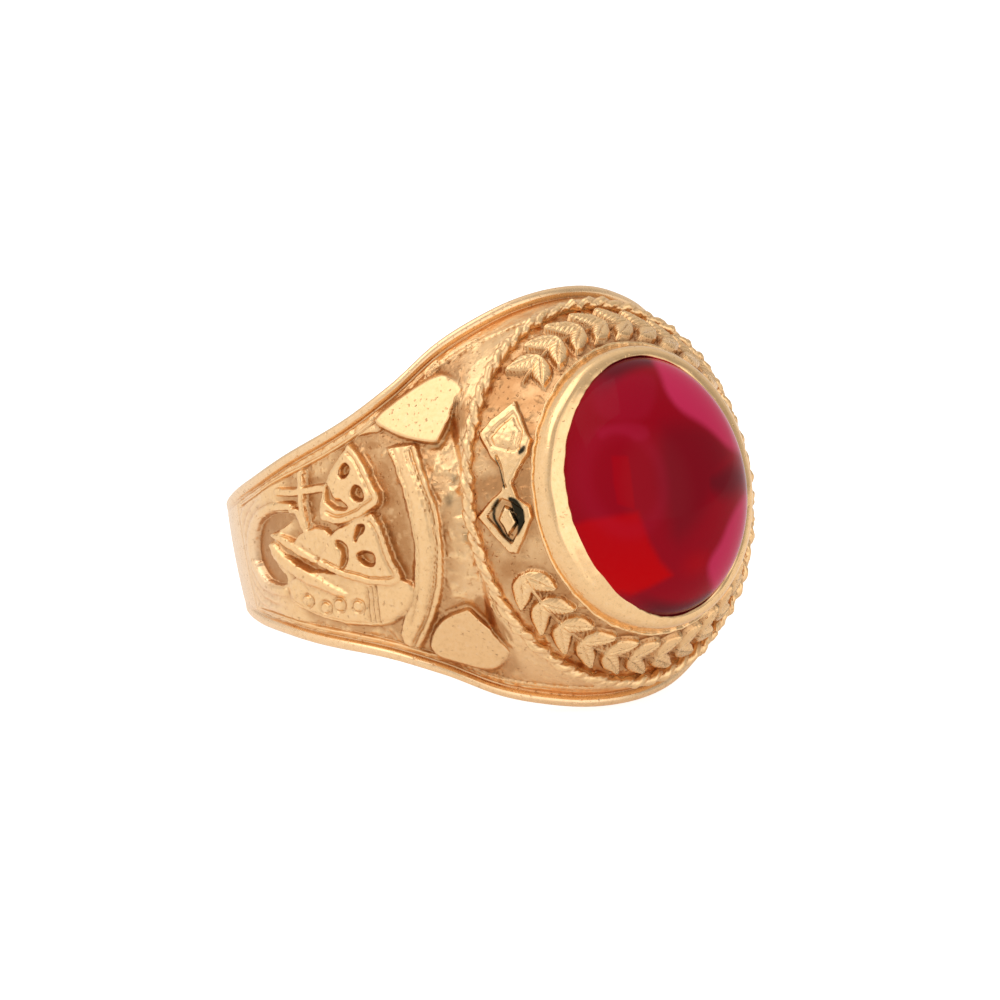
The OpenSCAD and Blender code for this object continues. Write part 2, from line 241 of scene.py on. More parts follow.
# Drawing in relief
def segment_distance(p, q, start, end):
    (ax, ay), (bx, by) = start, end
    ex, ey = bx - ax, by - ay
    t = np.clip(((p - ax) * ex + (q - ay) * ey) / (ex * ex + ey * ey + TINY), 0, 1)
    return np.hypot(p - ax - t * ex, q - ay - t * ey)


def line_distance(p, q, points):
    nearest = np.full(p.shape, FAR)
    for start, end in zip(points, points[1:]):
        nearest = np.minimum(nearest, segment_distance(p, q, start, end))
    return nearest


def outline_distance(p, q, corners):
    """Distance to a closed outline, negative inside."""
    inside = np.zeros(p.shape, bool)
    for (ax, ay), (bx, by) in zip(corners, corners[1:] + corners[:1]):
        rise = by - ay or TINY
        inside ^= ((ay > q) != (by > q)) & (p < (bx - ax) * (q - ay) / rise + ax)
    nearest = line_distance(p, q, corners + corners[:1])
    return np.where(inside, -nearest, nearest)


def rounded(corners, times=2, closed=True):
    """Cuts the corners of an outline or a line until it is a curve."""
    for _ in range(times):
        cut = []
        for a, b in zip(corners, corners[1:] + corners[:1] * closed):
            cut += [(0.75 * a[0] + 0.25 * b[0], 0.75 * a[1] + 0.25 * b[1]),
                    (0.25 * a[0] + 0.75 * b[0], 0.25 * a[1] + 0.75 * b[1])]
        corners = cut if closed else [corners[0]] + cut + [corners[-1]]
    return corners


def oval(x, y, half_wide, half_long):
    turns = np.linspace(0, 2 * math.pi, 15)
    return [(x + half_wide * math.cos(t), y + half_long * math.sin(t)) for t in turns]


class Relief:
    """Heights over a flat drawing, raised and cut a form at a time, with the masks for the finish: polish,
    black stains with painted dark reflections, and painted shade with some patina.

    Levels are in millimetres above the ground. times says how often a drawing's corners are cut."""
    # Only what lies this close to a drawing is worked on
    MARGIN = 0.6

    def __init__(self, p, q, ground):
        self.p, self.q = p, q
        self.height = ground
        self.shine, self.black, self.deep = (np.zeros(p.shape) for _ in range(3))

    def counted_from(self, p, q):
        """The same relief, for drawings that are counted from another place."""
        other = Relief(p, q, self.height)
        other.shine, other.black, other.deep = self.shine, self.black, self.deep
        return other

    def near(self, corners):
        xs, ys = [x for x, y in corners], [y for x, y in corners]
        return ((self.p > min(xs) - self.MARGIN) & (self.p < max(xs) + self.MARGIN)
                & (self.q > min(ys) - self.MARGIN) & (self.q < max(ys) + self.MARGIN))

    def form(self, corners, level, wall, crown=0.0, crown_width=0.5, shine=0.0, times=2):
        """Raises (or sinks) what lies inside an outline to a level, with a steep wall and a soft crown."""
        here = self.near(corners)
        d = outline_distance(self.p[here], self.q[here], rounded(corners, times))
        inside = smooth(1.5 * wall, -0.5 * wall, d)
        top = np.maximum(level + crown * (1 - np.clip(1 + d / crown_width, 0, 1) ** 2), self.height[here])
        self.height[here] += (top - self.height[here]) * inside
        self.deep[here] *= 1 - inside
        if shine:
            self.shine[here] = np.maximum(self.shine[here], shine * smooth(0, -0.12, d))

    def sink(self, corners, level, wall, deep, times=2):
        """Sinks what lies inside an outline to a level, and marks it for painted shade, with some patina."""
        here = self.near(corners)
        d = outline_distance(self.p[here], self.q[here], rounded(corners, times))
        inside = smooth(0.4 * wall, -1.6 * wall, d)
        self.height[here] += (np.minimum(level, self.height[here]) - self.height[here]) * inside
        self.deep[here] = np.maximum(self.deep[here], deep * inside)

    def line(self, points, width, level, shine=0.0):
        """A rounded bead along a line, up to a level."""
        here = self.near(points)
        d = line_distance(self.p[here], self.q[here], rounded(points, closed=False))
        stands = 0.7 * width
        bead = level - stands + stands * bulge(d, width)
        inside = smooth(width * 1.1, width * 0.6, d)
        self.height[here] += (np.maximum(bead, self.height[here]) - self.height[here]) * inside
        if shine:
            self.shine[here] = np.maximum(self.shine[here], shine * inside)

    def cut(self, points, width, depth, times=2):
        """A thin groove along a line."""
        here = self.near(points)
        d = line_distance(self.p[here], self.q[here], rounded(points, times, closed=False))
        self.height[here] -= depth * smooth(width, 0, d)

    # Marks black stains, and painted dark reflections in the lozenges
    def blacken(self, corners, amount, soft):
        here = self.near(corners)
        d = outline_distance(self.p[here], self.q[here], rounded(corners))
        self.black[here] = np.maximum(self.black[here], amount * smooth(soft, -soft, d))


# Drawings on the shoulder, seen square on to it: towards the stone, and along the finger
UPPER_PLAQUE = [(1.98, 5.47), (3.6, 6.35), (5.1, 6.99), (5.85, 6.79), (6.38, 6.44), (6.66, 6.13),
                (6.62, 6.02),
                (5.92, 5.03), (5.38, 3.95), (5.28, 3.87), (4.43, 4.08), (3.53, 4.4), (2.78, 4.79),
                (2.2, 5.16)]
LOWER_PLAQUE = [(5.28, -3.93), (5.34, -4.02), (5.64, -4.71), (6.15, -5.6), (6.5, -6.2), (6.33, -6.46),
                (6.01, -6.66), (5.4, -6.91), (4.97, -6.96), (4.39, -6.77), (3.66, -6.36), (2.82, -5.92),
                (2.68, -5.43), (2.78, -5.21), (3.1, -4.79), (3.67, -4.33), (4.23, -4.11), (4.8, -4),
                (5.2, -3.93)]
BANNER_LEFT = [(2.69, 4), (2.72, 3.98), (3.08, 3.05), (3.36, 2.25), (3.54, 1.22), (3.64, 0.02), (3.47, -1.17),
               (2.96, -2.59), (2.65, -3.17), (1.82, -3.94), (1.2, -4.9)]
BANNER_RIGHT = [(4.2, 4), (4.27, 3.9), (4.56, 2.84), (4.84, 1.98), (5.07, 1.01), (5.15, -0.19), (4.85, -1.61),
                (4.2, -3.01), (3.43, -4.04), (2.67, -4.83), (1.9, -5.5)]
BANNER_GROOVES = [
    [(3.93, 3.8), (4.21, 2.89), (4.55, 1.91), (4.8, 0.93), (4.86, -0.15), (4.6, -1.33), (3.96, -2.73),
     (3.22, -3.76), (2.42, -4.62), (1.7, -5.3)],
    [(2.99, 3.9), (3.36, 2.89), (3.6, 2.03), (3.78, 0.83), (3.77, -0.48), (3.42, -1.91), (2.9, -3.08),
     (2.1, -4.2)],
    [(3.72, 3.7), (4, 2.8), (4.34, 1.86), (4.57, 0.9), (4.62, -0.15), (4.38, -1.25), (3.76, -2.6),
     (2.9, -3.9)],
]
COMEDY = [(0.54, 4.5), (1.14, 3.93), (1.44, 3.28), (1.72, 2.54), (2.1, 1.96), (2.03, 1.58), (1.32, 1.34),
          (0.64, 1.03), (-0.65, 0.95), (-1.48, 1.28), (-1.68, 1.58), (-1.32, 2.38), (-0.88, 3.22),
          (-0.17, 3.97)]
COMEDY_EYES = [
    [(0.28, 3.78), (0.6, 3.5), (0.46, 3.05), (0.1, 2.96), (-0.15, 3.19), (-0.04, 3.59)],
    [(0.81, 2.68), (1.2, 2.42), (1.28, 1.99), (1.1, 1.72), (0.69, 1.84), (0.37, 2.12), (0.48, 2.52)],
]
COMEDY_MOUTH = [(-0.92, 3.05), (-0.66, 2.6), (-0.59, 2.18), (-0.2, 2.13), (0.26, 1.77), (0.17, 1.55),
                (-0.38, 1.54), (-0.9, 1.8), (-1.16, 2.19), (-1.11, 2.72)]
TRAGEDY = [(1.47, 1.25), (1.69, 0.88), (1.93, 0.25), (2.14, -0.99), (2.48, -2.02), (2.05, -2.24), (1, -2.17),
           (0.01, -1.87), (-1.27, -1.35), (-2.28, -0.72), (-2.04, -0.38), (-1.66, 0.19), (-0.97, 0.68),
           (0.46, 1)]
TRAGEDY_EYES = [
    [(0.83, 0.84), (1.06, 0.69), (0.97, 0.43), (0.62, 0.29), (0.38, -0.05), (0.17, 0.04), (0.33, 0.51),
     (0.5, 0.79)],
    [(0.69, -0.39), (1.19, -0.57), (1.33, -0.89), (1.15, -1.24), (0.68, -1.24), (0.29, -0.95), (0.15, -0.63),
     (0.32, -0.43)],
]
TRAGEDY_MOUTH = [(-0.98, 0.26), (-0.51, 0.18), (-0.18, -0.1), (-0.23, -0.58), (-0.53, -1.04), (-0.86, -1.18),
                 (-1.01, -1.04), (-0.72, -0.59), (-0.71, -0.28), (-0.98, -0.07)]
HALF_DISC = [(-3.76, 0.37), (-3.22, 0.76), (-2.33, 0.96), (-1.54, 0.85), (-1.21, 0.54), (-1.53, -0.08),
             (-2.18, -0.57), (-3.28, 0.01)]
RIDGE = [(-3.5, 1.9), (-3.1, 1.8), (-2.9, 1.2), (-2.7, 0.75)]
SHORT_BRUSH = [(-5.1, 1.05), (-4.58, 0.95), (-3.38, 0.22), (-2.15, -0.57), (-2.29, -0.72), (-2.78, -0.57),
               (-3.86, 0.03), (-4.72, 0.6), (-5.13, 0.87)]
LONG_BRUSH = [(-5.3, 0.58), (-4.86, 0.47), (-4.65, 0.08), (-3.52, -0.75), (-2.03, -1.58), (-0.78, -2.36),
              (-1.1, -2.5), (-2.46, -1.93), (-3.67, -1.32), (-4.52, -0.82), (-5.1, -0.35), (-5.3, 0.16)]
PALETTE = [(-4.62, -1.36), (-4.72, -2.23), (-4.15, -2.72), (-2.65, -3.38), (-0.89, -3.86), (0.57, -4.04),
           (1.56, -3.88), (2.37, -3.54), (2.92, -2.83), (2.91, -2.45), (2.49, -2.1), (0.98, -2),
           (-0.72, -1.5),
           (-3.09, -1)]
PAINT_DOTS = [(-3.54, -2.4), (-2.45, -2.82), (-1.57, -2.8), (-0.5, -3)]
PALETTE_LINES = [
    [(0.3, -2.2), (-0.1, -3.72)],
    [(0.56, -2.2), (0.16, -3.8)],
    [(0.82, -2.2), (0.42, -3.85)],
]
CURL_HOLLOW = [(-4.07, 1.84), (-5.05, 2), (-6.02, 1.7), (-6.68, 1), (-6.98, 0.15), (-6.78, -0.75),
               (-6.1, -1.36), (-4.8, -1.62), (-4.71, -1.1), (-5.1, -0.76), (-5.3, -0.32), (-5.32, 0.05),
               (-5.26, 0.42), (-5.05, 0.88), (-4.63, 1.12), (-4.02, 1.3), (-3.6, 1.45), (-3.35, 1),
               (-2.95, 1),
               (-3.1, 1.68), (-3.39, 1.88)]
CURL_RIM = [(-3.6, 2.14), (-4.95, 2.26), (-6.14, 1.95), (-6.94, 1.2), (-7.25, 0.3), (-7.1, -0.7),
            (-6.35, -1.6), (-5, -1.86)]
CROSS = [[(-2.62, 3.6), (-2.76, 2.72), (-2.86, 1.91), (-2.7, 1.1)], [(-4.3, 2.88), (-2.77, 2.7),
          (-1.2, 2.72)]]
PITS = [
    [(-2.5, 3.36), (-1.8, 3.42), (-1.15, 3.1), (-1.25, 2.84), (-2.15, 2.84), (-2.54, 2.89)],
    [(-2.6, 2.5), (-1.95, 2.5), (-1.5, 2.2), (-1.7, 1.6), (-2.28, 1.45), (-2.62, 1.69)],
    [(1.39, 4.58), (2.21, 4.5), (2.5, 4.18), (2.05, 3.92), (1.35, 3.95), (1.1, 4.27)],
    [(1.73, 3.65), (2.47, 3.61), (2.98, 2.72), (3.3, 1.5), (3.46, 0.28), (3.36, -0.92), (2.98, -2.3),
     (2.55, -2.03), (2.35, -1.27), (2.07, -0.13), (1.84, 0.86), (1.58, 1.13), (2.14, 1.77), (1.94, 2.51)],
    [(5.5, -3.6), (5.96, -3.18), (6.28, -3.61), (6.74, -4.47), (7.07, -5.21), (7.1, -5.77), (6.68, -6.1),
     (6.21, -5.49), (5.68, -4.6), (5.3, -3.92)],
    [(6.94, 5.85), (7.43, 5.67), (7.38, 4.93), (7.13, 4.24), (5.79, 3.66), (5.35, 3.81)],
]
COMEDY_RIM = [(0.52, 4.35), (1.02, 3.9), (1.33, 3.2), (1.6, 2.5), (1.93, 1.95), (1.85, 1.72), (1.25, 1.5),
              (0.6, 1.2),
              (-0.6, 1.13), (-1.35, 1.42)]
COMEDY_GROOVE = [(0.45, 4.12), (0.85, 3.77), (1.15, 3.12), (1.45, 2.42), (1.7, 1.98), (1.62, 1.88),
                 (1.15, 1.68),
                 (0.5, 1.38), (-0.55, 1.33), (-1.15, 1.6)]
TRAGEDY_RIM = [(1.45, 1.1), (1.6, 0.85), (1.82, 0.22), (2.02, -1.0), (2.3, -1.95), (2.0, -2.08), (1.0, -2.0),
               (0.05, -1.72), (-1.2, -1.2), (-2.1, -0.68)]
TRAGEDY_GROOVE = [(1.3, 0.85), (1.42, 0.7), (1.62, 0.15), (1.82, -1.05), (2.02, -1.8), (1.85, -1.88),
                  (1.0, -1.8),
                  (0.1, -1.52), (-1.1, -1.02), (-1.9, -0.6)]
BOW = [(0.3, 4.95), (1.22, 5.12), (2.19, 5.06)]
STAINS = [(5.8, 1.2, 0.28), (6.95, 1.4, 0.25), (5.3, 3.8, 0.12), (6.1, 2.1, 0.2), (6.3, -0.6, 0.18)]
# How far the hand strays from the drawn line
HAND = 0.035


def strayed(p, q):
    """A drawing as a hand cuts it, a little off its lines."""
    p = p + HAND * layered(p, q, (1, 0.55, 51), (0.6, 0.19, 52))
    q = q + HAND * layered(p, q, (1, 0.55, 53), (0.6, 0.19, 54))
    return p, q


def shoulder_ground(p, q):
    """The grainy sunk ground, which comes up to the level of the rails towards the shank."""
    grain = layered(p, q, (0.045, 0.13, 3), (0.075, 0.27, 4), (0.05, 0.62, 5))
    level = mm("ground_depth") * (1 - smooth(-4.7, -3.5, p))
    return Relief(p, q, level + grain * smooth(-4.4, -2.6, p) + 0.02 * lumps(p, q, 0.5, 6))


def lay_curl(relief):
    """The curl below the brushes, with ripples in the ground that run round it."""
    away = outline_distance(relief.p, relief.q, rounded(CURL_RIM))
    beside = smooth(0.25, 0.5, away) * smooth(2.4, 1.2, away) * smooth(-5.2, -6.2, relief.p)
    relief.height += beside * 0.045 * np.sin(away * 2 * math.pi / 0.42)
    relief.line(BOW, width=0.3, level=0.26)
    relief.line(CURL_RIM, width=0.24, level=0.44)
    # Painted shade inside the curl
    relief.sink(CURL_HOLLOW, level=-0.12, wall=0.08, deep=1, times=1)


def lay_pits(relief):
    """The deep pits between the forms, with painted shade in them, and pale lumps left standing in them with
    less of it.
    """
    p, q = relief.p, relief.q
    for pit in PITS:
        relief.sink(pit, level=-0.16, wall=0.12, deep=0.95)
    left = np.clip(layered(p, q, (2.2, 0.42, 7), (1.4, 0.17, 8)) - 1.1, 0, 1) * (p > -4)
    relief.height += 0.22 * left * relief.deep
    relief.deep *= 1 - 0.85 * left


def lay_banner(relief):
    relief.form(BANNER_LEFT + BANNER_RIGHT[::-1], level=0.42, wall=0.08, crown=0.04, crown_width=0.4,
                shine=0.8, times=1)
    for line, width, depth in zip(BANNER_GROOVES, (0.13, 0.09, 0.09), (0.24, 0.12, 0.12)):
        relief.cut(line, width, depth)


def lay_palette(relief):
    """The palette with a cut line inside its edge, its dots of paint and three lines across it."""
    relief.form(PALETTE, level=0.34, wall=0.09, crown=0.08, crown_width=0.4, shine=0.4)
    relief.cut([(x * 0.97, y * 0.94 - 0.14) for x, y in PALETTE[1:10]], width=0.09, depth=0.06)
    for x, y in PAINT_DOTS:
        relief.form(oval(x, y, 0.24, 0.21), level=0.5, wall=0.06, times=0)
        relief.cut(oval(x, y, 0.34, 0.31), width=0.13, depth=0.1, times=0)
    for line in PALETTE_LINES:
        relief.cut(line, width=0.1, depth=0.16)


def lay_brushes(relief):
    relief.form(HALF_DISC, level=0.36, wall=0.09, crown=0.1, crown_width=0.5, shine=0.3)
    relief.form(SHORT_BRUSH, level=0.46, wall=0.07, crown=0.08, crown_width=0.15, shine=0.4, times=1)
    relief.form(LONG_BRUSH, level=0.5, wall=0.07, crown=0.1, crown_width=0.2, shine=0.4, times=1)
    for line in CROSS + [RIDGE]:
        relief.line(line, width=0.22, level=0.42, shine=0.3)


def lay_mask(relief, mask, level, eyes, mouth, rim, groove):
    relief.form(mask, level, wall=0.1, crown=0.08, crown_width=0.45, shine=0.35)
    relief.line(rim, width=0.19, level=level + 0.13, shine=0.5)
    relief.cut(groove, width=0.11, depth=0.11)
    # Painted shade in the eyes and the mouth
    for hole in eyes:
        relief.sink(hole, level - 0.36, wall=0.12, deep=0.95)
    relief.sink(mouth, level - 0.32, wall=0.12, deep=0.6)


def shoulder_relief(p, q):
    """The emblem and the banner, in millimetres above the sunk ground."""
    p, q = strayed(p, q)
    relief = shoulder_ground(p, q)
    lay_curl(relief)
    lay_pits(relief)
    lay_banner(relief)
    lay_palette(relief)
    lay_brushes(relief)
    lay_mask(relief, TRAGEDY, 0.42, TRAGEDY_EYES, TRAGEDY_MOUTH, TRAGEDY_RIM, TRAGEDY_GROOVE)
    lay_mask(relief, COMEDY, 0.5, COMEDY_EYES, COMEDY_MOUTH, COMEDY_RIM, COMEDY_GROOVE)
    for x, y, r in STAINS:
        relief.blacken([(x - r, y), (x, y + r * 1.3), (x + r * 0.7, y), (x, y - r * 1.3)], 0.55, 0.2)
    relief.height += layered(p, q, (0.012, 0.11, 55), (0.016, 0.24, 56))
    # The ground beside the stone is crumpled more
    crumpled = smooth(4.8, 6, p) * smooth(-6, -4, q)
    folds = 0.1 * np.abs(lumps(p, q, 0.28, 61)) + 0.09 * np.abs(lumps(p, q, 0.5, 62)) - 0.06
    relief.height += crumpled * folds
    return relief


# Meshes
# Vertices closer than this are one
WELD = 0.00002
# How many times a relief is blurred to find its hollows for the painted shade, from narrow ones to wide ones
HOLLOW_BLURS = (16, 56, 160)


def lay_down(x, y, z):
    """From the drawn ring to the ring on its side, in metres."""
    side = np.stack([x, y * math.sin(TILT) - z * math.cos(TILT), y * math.cos(TILT) + z * math.sin(TILT)], -1)
    return side * MM + HOLE_PLACE


def shaped_grid(name, columns, rows, place, caps=False):
    """A grid whose vertices are moved by place(u, v), with its seams closed and its masks kept as attributes.

    place gets u and v from 0 to 1 as two tables. It returns x, y and z in millimetres and a dict of masks."""
    bm = bmesh.new()
    bmesh.ops.create_grid(bm, x_segments=columns, y_segments=rows, size=0.5)
    mesh = bpy.data.meshes.new(name)
    bm.to_mesh(mesh)
    bm.free()
    flat = np.empty(3 * len(mesh.vertices))
    mesh.vertices.foreach_get("co", flat)
    i = np.rint((flat[0::3] + 0.5) * columns).astype(int)
    j = np.rint((flat[1::3] + 0.5) * rows).astype(int)
    u, v = np.meshgrid(np.linspace(0, 1, columns + 1), np.linspace(0, 1, rows + 1))
    x, y, z, masks = place(u, v)
    mesh.vertices.foreach_set("co", lay_down(x, y, z)[j, i].ravel())
    for mask, values in masks.items():
        mesh.attributes.new(mask, "FLOAT", "POINT").data.foreach_set("value", values[j, i].ravel())
    bm = bmesh.new()
    bm.from_mesh(mesh)
    bmesh.ops.remove_doubles(bm, verts=bm.verts, dist=WELD * MM)
    if caps:
        bmesh.ops.holes_fill(bm, edges=[e for e in bm.edges if e.is_boundary], sides=0)
    bmesh.ops.recalc_face_normals(bm, faces=bm.faces)
    for face in bm.faces:
        face.smooth = True
    bm.to_mesh(mesh)
    bm.free()
    piece = bpy.data.objects.new(name, mesh)
    bpy.context.scene.collection.objects.link(piece)
    return piece


def spread(values, passes):
    """Blurs a table along both ways."""
    for _ in range(passes):
        padded = np.pad(values, 1, mode="edge")
        values = (padded[:-2, 1:-1] + padded[2:, 1:-1] + padded[1:-1, :-2] + padded[1:-1, 2:]) / 4
    return values


def hollows(height):
    """How far each place lies below what is around it, in millimetres, which sets the painted shade."""
    deep = np.zeros(height.shape)
    for passes in HOLLOW_BLURS:
        deep = np.maximum(deep, spread(height, passes) - height)
    return spread(deep, 2)


def crests(height):
    """How sharply each place stands above what is close to it, from 0 to 1. Rubbing keeps it bright."""
    return np.clip(spread((height - spread(height, 6)) / 0.07, 1), 0, 1)


def finish_piece(piece, material, *nodes, slot):
    piece.data.materials.append(material)
    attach(piece, "root")
    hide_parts(*nodes)
    return piece


# The shank
# Radius of the rail's outer roll and of the rounded edge of the hole
RAIL_ROLL = 0.27
HOLE_ROUNDING = 0.14


def edge_form(angle, d):
    """Radius at a distance in from the edge: the rolled rail, the groove beside it and the ground."""
    away = from_stone(angle)
    depth = mm("ground_depth")
    second_line = 0.8 * mm("rail_width") / 0.56
    grooved = smooth(128, 88, away)
    sunk = smooth(SHOULDER_END, SHOULDER_END - 8, away)
    roll = rail_top(angle) - 0.26 * (1 - bulge(RAIL_ROLL - d, RAIL_ROLL)) * (d < RAIL_ROLL)
    roll = roll - 0.1 * smooth(0.32, 0.54, d) * grooved
    top = worked_top(angle, half_width(angle) - d)
    ground = top - depth * sunk
    groove = top - depth * 0.9 * grooved
    second = top - depth * (0.3 * sunk)
    inner = ground + (groove - ground) * smooth(0.78, 0.64, d)
    inner = np.maximum(inner, second - 8 * (d - second_line) ** 2)
    mix = smooth(0.46, 0.6, d)
    return roll * (1 - mix) + inner * mix


def make_shank():
    bore, lean = mm("bore_radius"), mm("side_lean")
    # Each half section runs from the middle of the hole (0) to the crown (1). The hole, the side wall and the
    # close rows over the rail end at these shares of it, and the last reach so many millimetres in.
    hole_end, wall_end, edge_end = 0.08, 0.2, 0.72
    edge_span = 1.1
    # Share of the side wall's rows that the rounded edge of the hole gets
    rounding_rows = 0.4

    def place(u, v):
        angle = 360 * u
        away = from_stone(angle)
        width = half_width(angle)
        side = np.where(v < 0.5, -1, 1)
        s = 1 - np.abs(v - 0.5) * 2
        in_hole = np.clip(s / hole_end, 0, 1)
        in_wall = np.clip((s - hole_end) / (wall_end - hole_end), 0, 1)
        in_edge = np.clip((s - wall_end) / (edge_end - wall_end), 0, 1)
        in_crown = np.clip((s - edge_end) / (1 - edge_end), 0, 1)
        hole_half = width - lean - HOLE_ROUNDING
        turn = np.clip(in_wall / rounding_rows, 0, 1) * math.pi / 2
        up = np.clip((in_wall - rounding_rows) / (1 - rounding_rows), 0, 1)
        y_wall = hole_half + HOLE_ROUNDING * np.sin(turn) + lean * up
        r_wall = (bore + HOLE_ROUNDING * (1 - np.cos(turn))
                  + (rail_top(angle) - RAIL_ROLL - bore - HOLE_ROUNDING) * up)
        d = edge_span * (0.25 * in_edge ** 2 + 0.75 * in_edge) + (width - edge_span) * in_crown
        outside = s >= wall_end
        y = np.where(s < hole_end, hole_half * in_hole, np.where(outside, width - d, y_wall))
        r = np.where(s < hole_end, bore, np.where(outside, edge_form(angle, d), r_wall))
        # Lower under the worked shoulders, which are pieces of their own
        r = r - 0.3 * smooth(0.62, 0.74, d) * smooth(SHOULDER_END - 0.2, SHOULDER_END - 1, away) * outside
        c, n = np.cos(np.radians(angle)), np.sin(np.radians(angle))
        waves = 0.012 * lumps(11 * n + 0.6 * y, 11 * c + 0.8 * y, 1.3, 11) * (s > hole_end)
        r = r + waves * smooth(0, 0.3, s)
        # Painted shade in the groove beside the rail
        groove = smooth(0.48, 0.56, d) * smooth(0.74, 0.64, d) * outside * smooth(128, 90, away)
        return (r * n, y * side, r * c,
                {"shine": np.where(d < 0.5, 1.0, 0.7), "shaded_hollow": groove * 0.4, "black": np.zeros(r.shape),
                 "rub": 0.5 + 0.5 * smooth(80, 98, away)})

    return shaped_grid("band_shank", 720, 132, place)


# The worked shoulders
def shoulder_edge(angle, p, y, d, worked):
    """Along the rail: how much of the drawing shows, and the height of the thin second line that is beaded
    towards the head, with the groove outside it."""
    beaded = smooth(52, 40, angle)
    bead = 0.5 + 0.5 * np.cos(angle * 2 * math.pi / 1.45)
    line = 0.23 * (1 - 0.5 * bead * beaded) + 0.06 * lumps(p, y, 0.3, 8) * beaded * worked
    # Further in on one side than on the other, but alike on both where the two shoulders meet
    apart = 0.5 + (smooth(-1, 2, y) - 0.5) * smooth(0.2, 12, angle)
    middle = 0.86 + 0.16 * apart * smooth(90, 70, angle) + 0.03 * lumps(p, y, 2.2, 9) * worked
    ridge = line * np.clip(1 - ((d - middle) / 0.13) ** 2, 0, 1)
    grain = layered(p, y, (0.2, 0.24, 14), (0.15, 0.6, 15)) * worked
    ledge = (0.13 + 0.3 * grain) * smooth(0.6, 0.7, d) * smooth(middle - 0.03, middle - 0.12, d)
    return smooth(middle + 0.04, middle + 0.19, d), np.maximum(ridge, ledge)


def make_shoulder(name, turned, columns, rows):
    """One shoulder's sunk ground with its relief, as a closed shell that sits in the shank."""
    under_rows = 6 / rows
    # Share of the columns that lie beside the stone, where they end, and how far the two shoulders overlap
    head_share, head_end, overlap = 0.3, 34, 0.1

    def place(u, v):
        top = v <= 1 - under_rows + 1e-9
        v = np.where(top, v / (1 - under_rows), (1 - v) / under_rows)
        angle = np.where(u < head_share, (head_end + overlap) * u / head_share - overlap,
                         head_end + (SHOULDER_END - head_end) * (u - head_share) / (1 - head_share))
        # Plain where the two shoulders meet
        worked = smooth(0.2, 4, angle)
        width = half_width(angle)
        # From the slope below the rope border out to the rail
        inner = mm("foot_long") * bulge(across_head(angle), mm("foot_wide") - 0.35) - 0.45
        inner = np.clip(inner, 0, None)
        q = (v - 0.5) * 2
        y = np.sign(q) * (inner + (width - 0.6 - inner) * np.abs(q))
        d = width - np.abs(y)
        skin = worked_top(angle, y)
        base = skin - mm("ground_depth")
        p = skin * np.sin(np.radians(SHOULDER_FACE - angle))
        relief = shoulder_relief(p, y)
        relief.height, relief.deep = relief.height * worked, relief.deep * worked
        shows, edge = shoulder_edge(angle, p, y, d, worked)
        relief.height = np.maximum(relief.height * shows, edge)
        relief.height -= 0.09 * smooth(0.66, 0.6, d)
        # Runs out into the plain shank
        plain = smooth(SHOULDER_END - 2.6, SHOULDER_END - 0.6, angle)
        relief.height = relief.height * (1 - plain) + (edge_form(angle, d) - base) * plain
        relief.height -= 0.02 * smooth(SHOULDER_END - 0.8, SHOULDER_END - 0.1, angle)
        for plaque in (UPPER_PLAQUE, LOWER_PLAQUE):
            lay_plaque(relief, plaque, angle, y, base, top)
        deep = hollows(np.where(top, relief.height, 0))
        r = np.where(top, base + relief.height, base - 0.5)
        x, z = -r * np.sin(np.radians(angle)), r * np.cos(np.radians(angle))
        shine = np.maximum(relief.shine, 0.5 * smooth(-5, -6, p))
        # Painted shade in the pits and the hollows, with some patina
        shaded_hollow = np.maximum(relief.deep * smooth(0.9, 1.1, d), np.clip(deep / 0.18, 0, 0.75))
        if turned:
            x, y = -x, -y
        return x, y, z, {"shine": np.clip(shine + crests(relief.height), 0, 1),
                         "shaded_hollow": shaded_hollow * (1 - plain), "black": relief.black, "rub": smooth(-4.6, -6.9, p)}

    return shaped_grid(name, columns, rows, place, caps=True)


def lay_plaque(relief, corners, angle, y, base, top):
    """A flat plate over the curved ground: one plane laid over the ground under it."""
    p = (base + mm("ground_depth")) * np.sin(np.radians(SHOULDER_FACE - angle))
    here = relief.near(corners) & top
    d = outline_distance(p[here], y[here], rounded(corners, 1))
    turn, across, ground = np.radians(angle[here]), y[here], base[here]
    under = d < 0
    spots = np.stack([ground * np.sin(turn), across, ground * np.cos(turn)], -1)
    middle = spots[under].mean(0)
    # The direction in which the ground under the plate is thinnest
    normal = np.linalg.svd(spots[under] - middle, full_matrices=False)[2][2]
    normal = normal * np.sign(normal[2])
    reach = middle @ normal - across * normal[1]
    plane = reach / (normal[0] * np.sin(turn) + normal[2] * np.cos(turn)) - ground
    plane = plane + 0.3 - min(0, plane[under].min()) * 0.75
    plane = plane - 0.05 * np.clip(1 + d / 0.12, 0, 1) ** 2
    inside = smooth(0.11, -0.05, d)
    relief.height[here] += (np.maximum(plane, 0.22) - relief.height[here]) * inside
    relief.height[here] -= 0.05 * np.exp(-((d - 0.24) / 0.1) ** 2)
    # A little painted shade over the whole plate
    relief.deep[here] = np.maximum(relief.deep[here] * (1 - inside), 0.15 * inside)
    relief.shine[here] = np.maximum(relief.shine[here], smooth(0, -0.1, d))


# The head
LAUREL_ARCS = [(29.3, 131.7), (200.4, 324.2)]
LEAF_GAP = 11.2
LOZENGE_PAIRS = [165.7, 357.5]
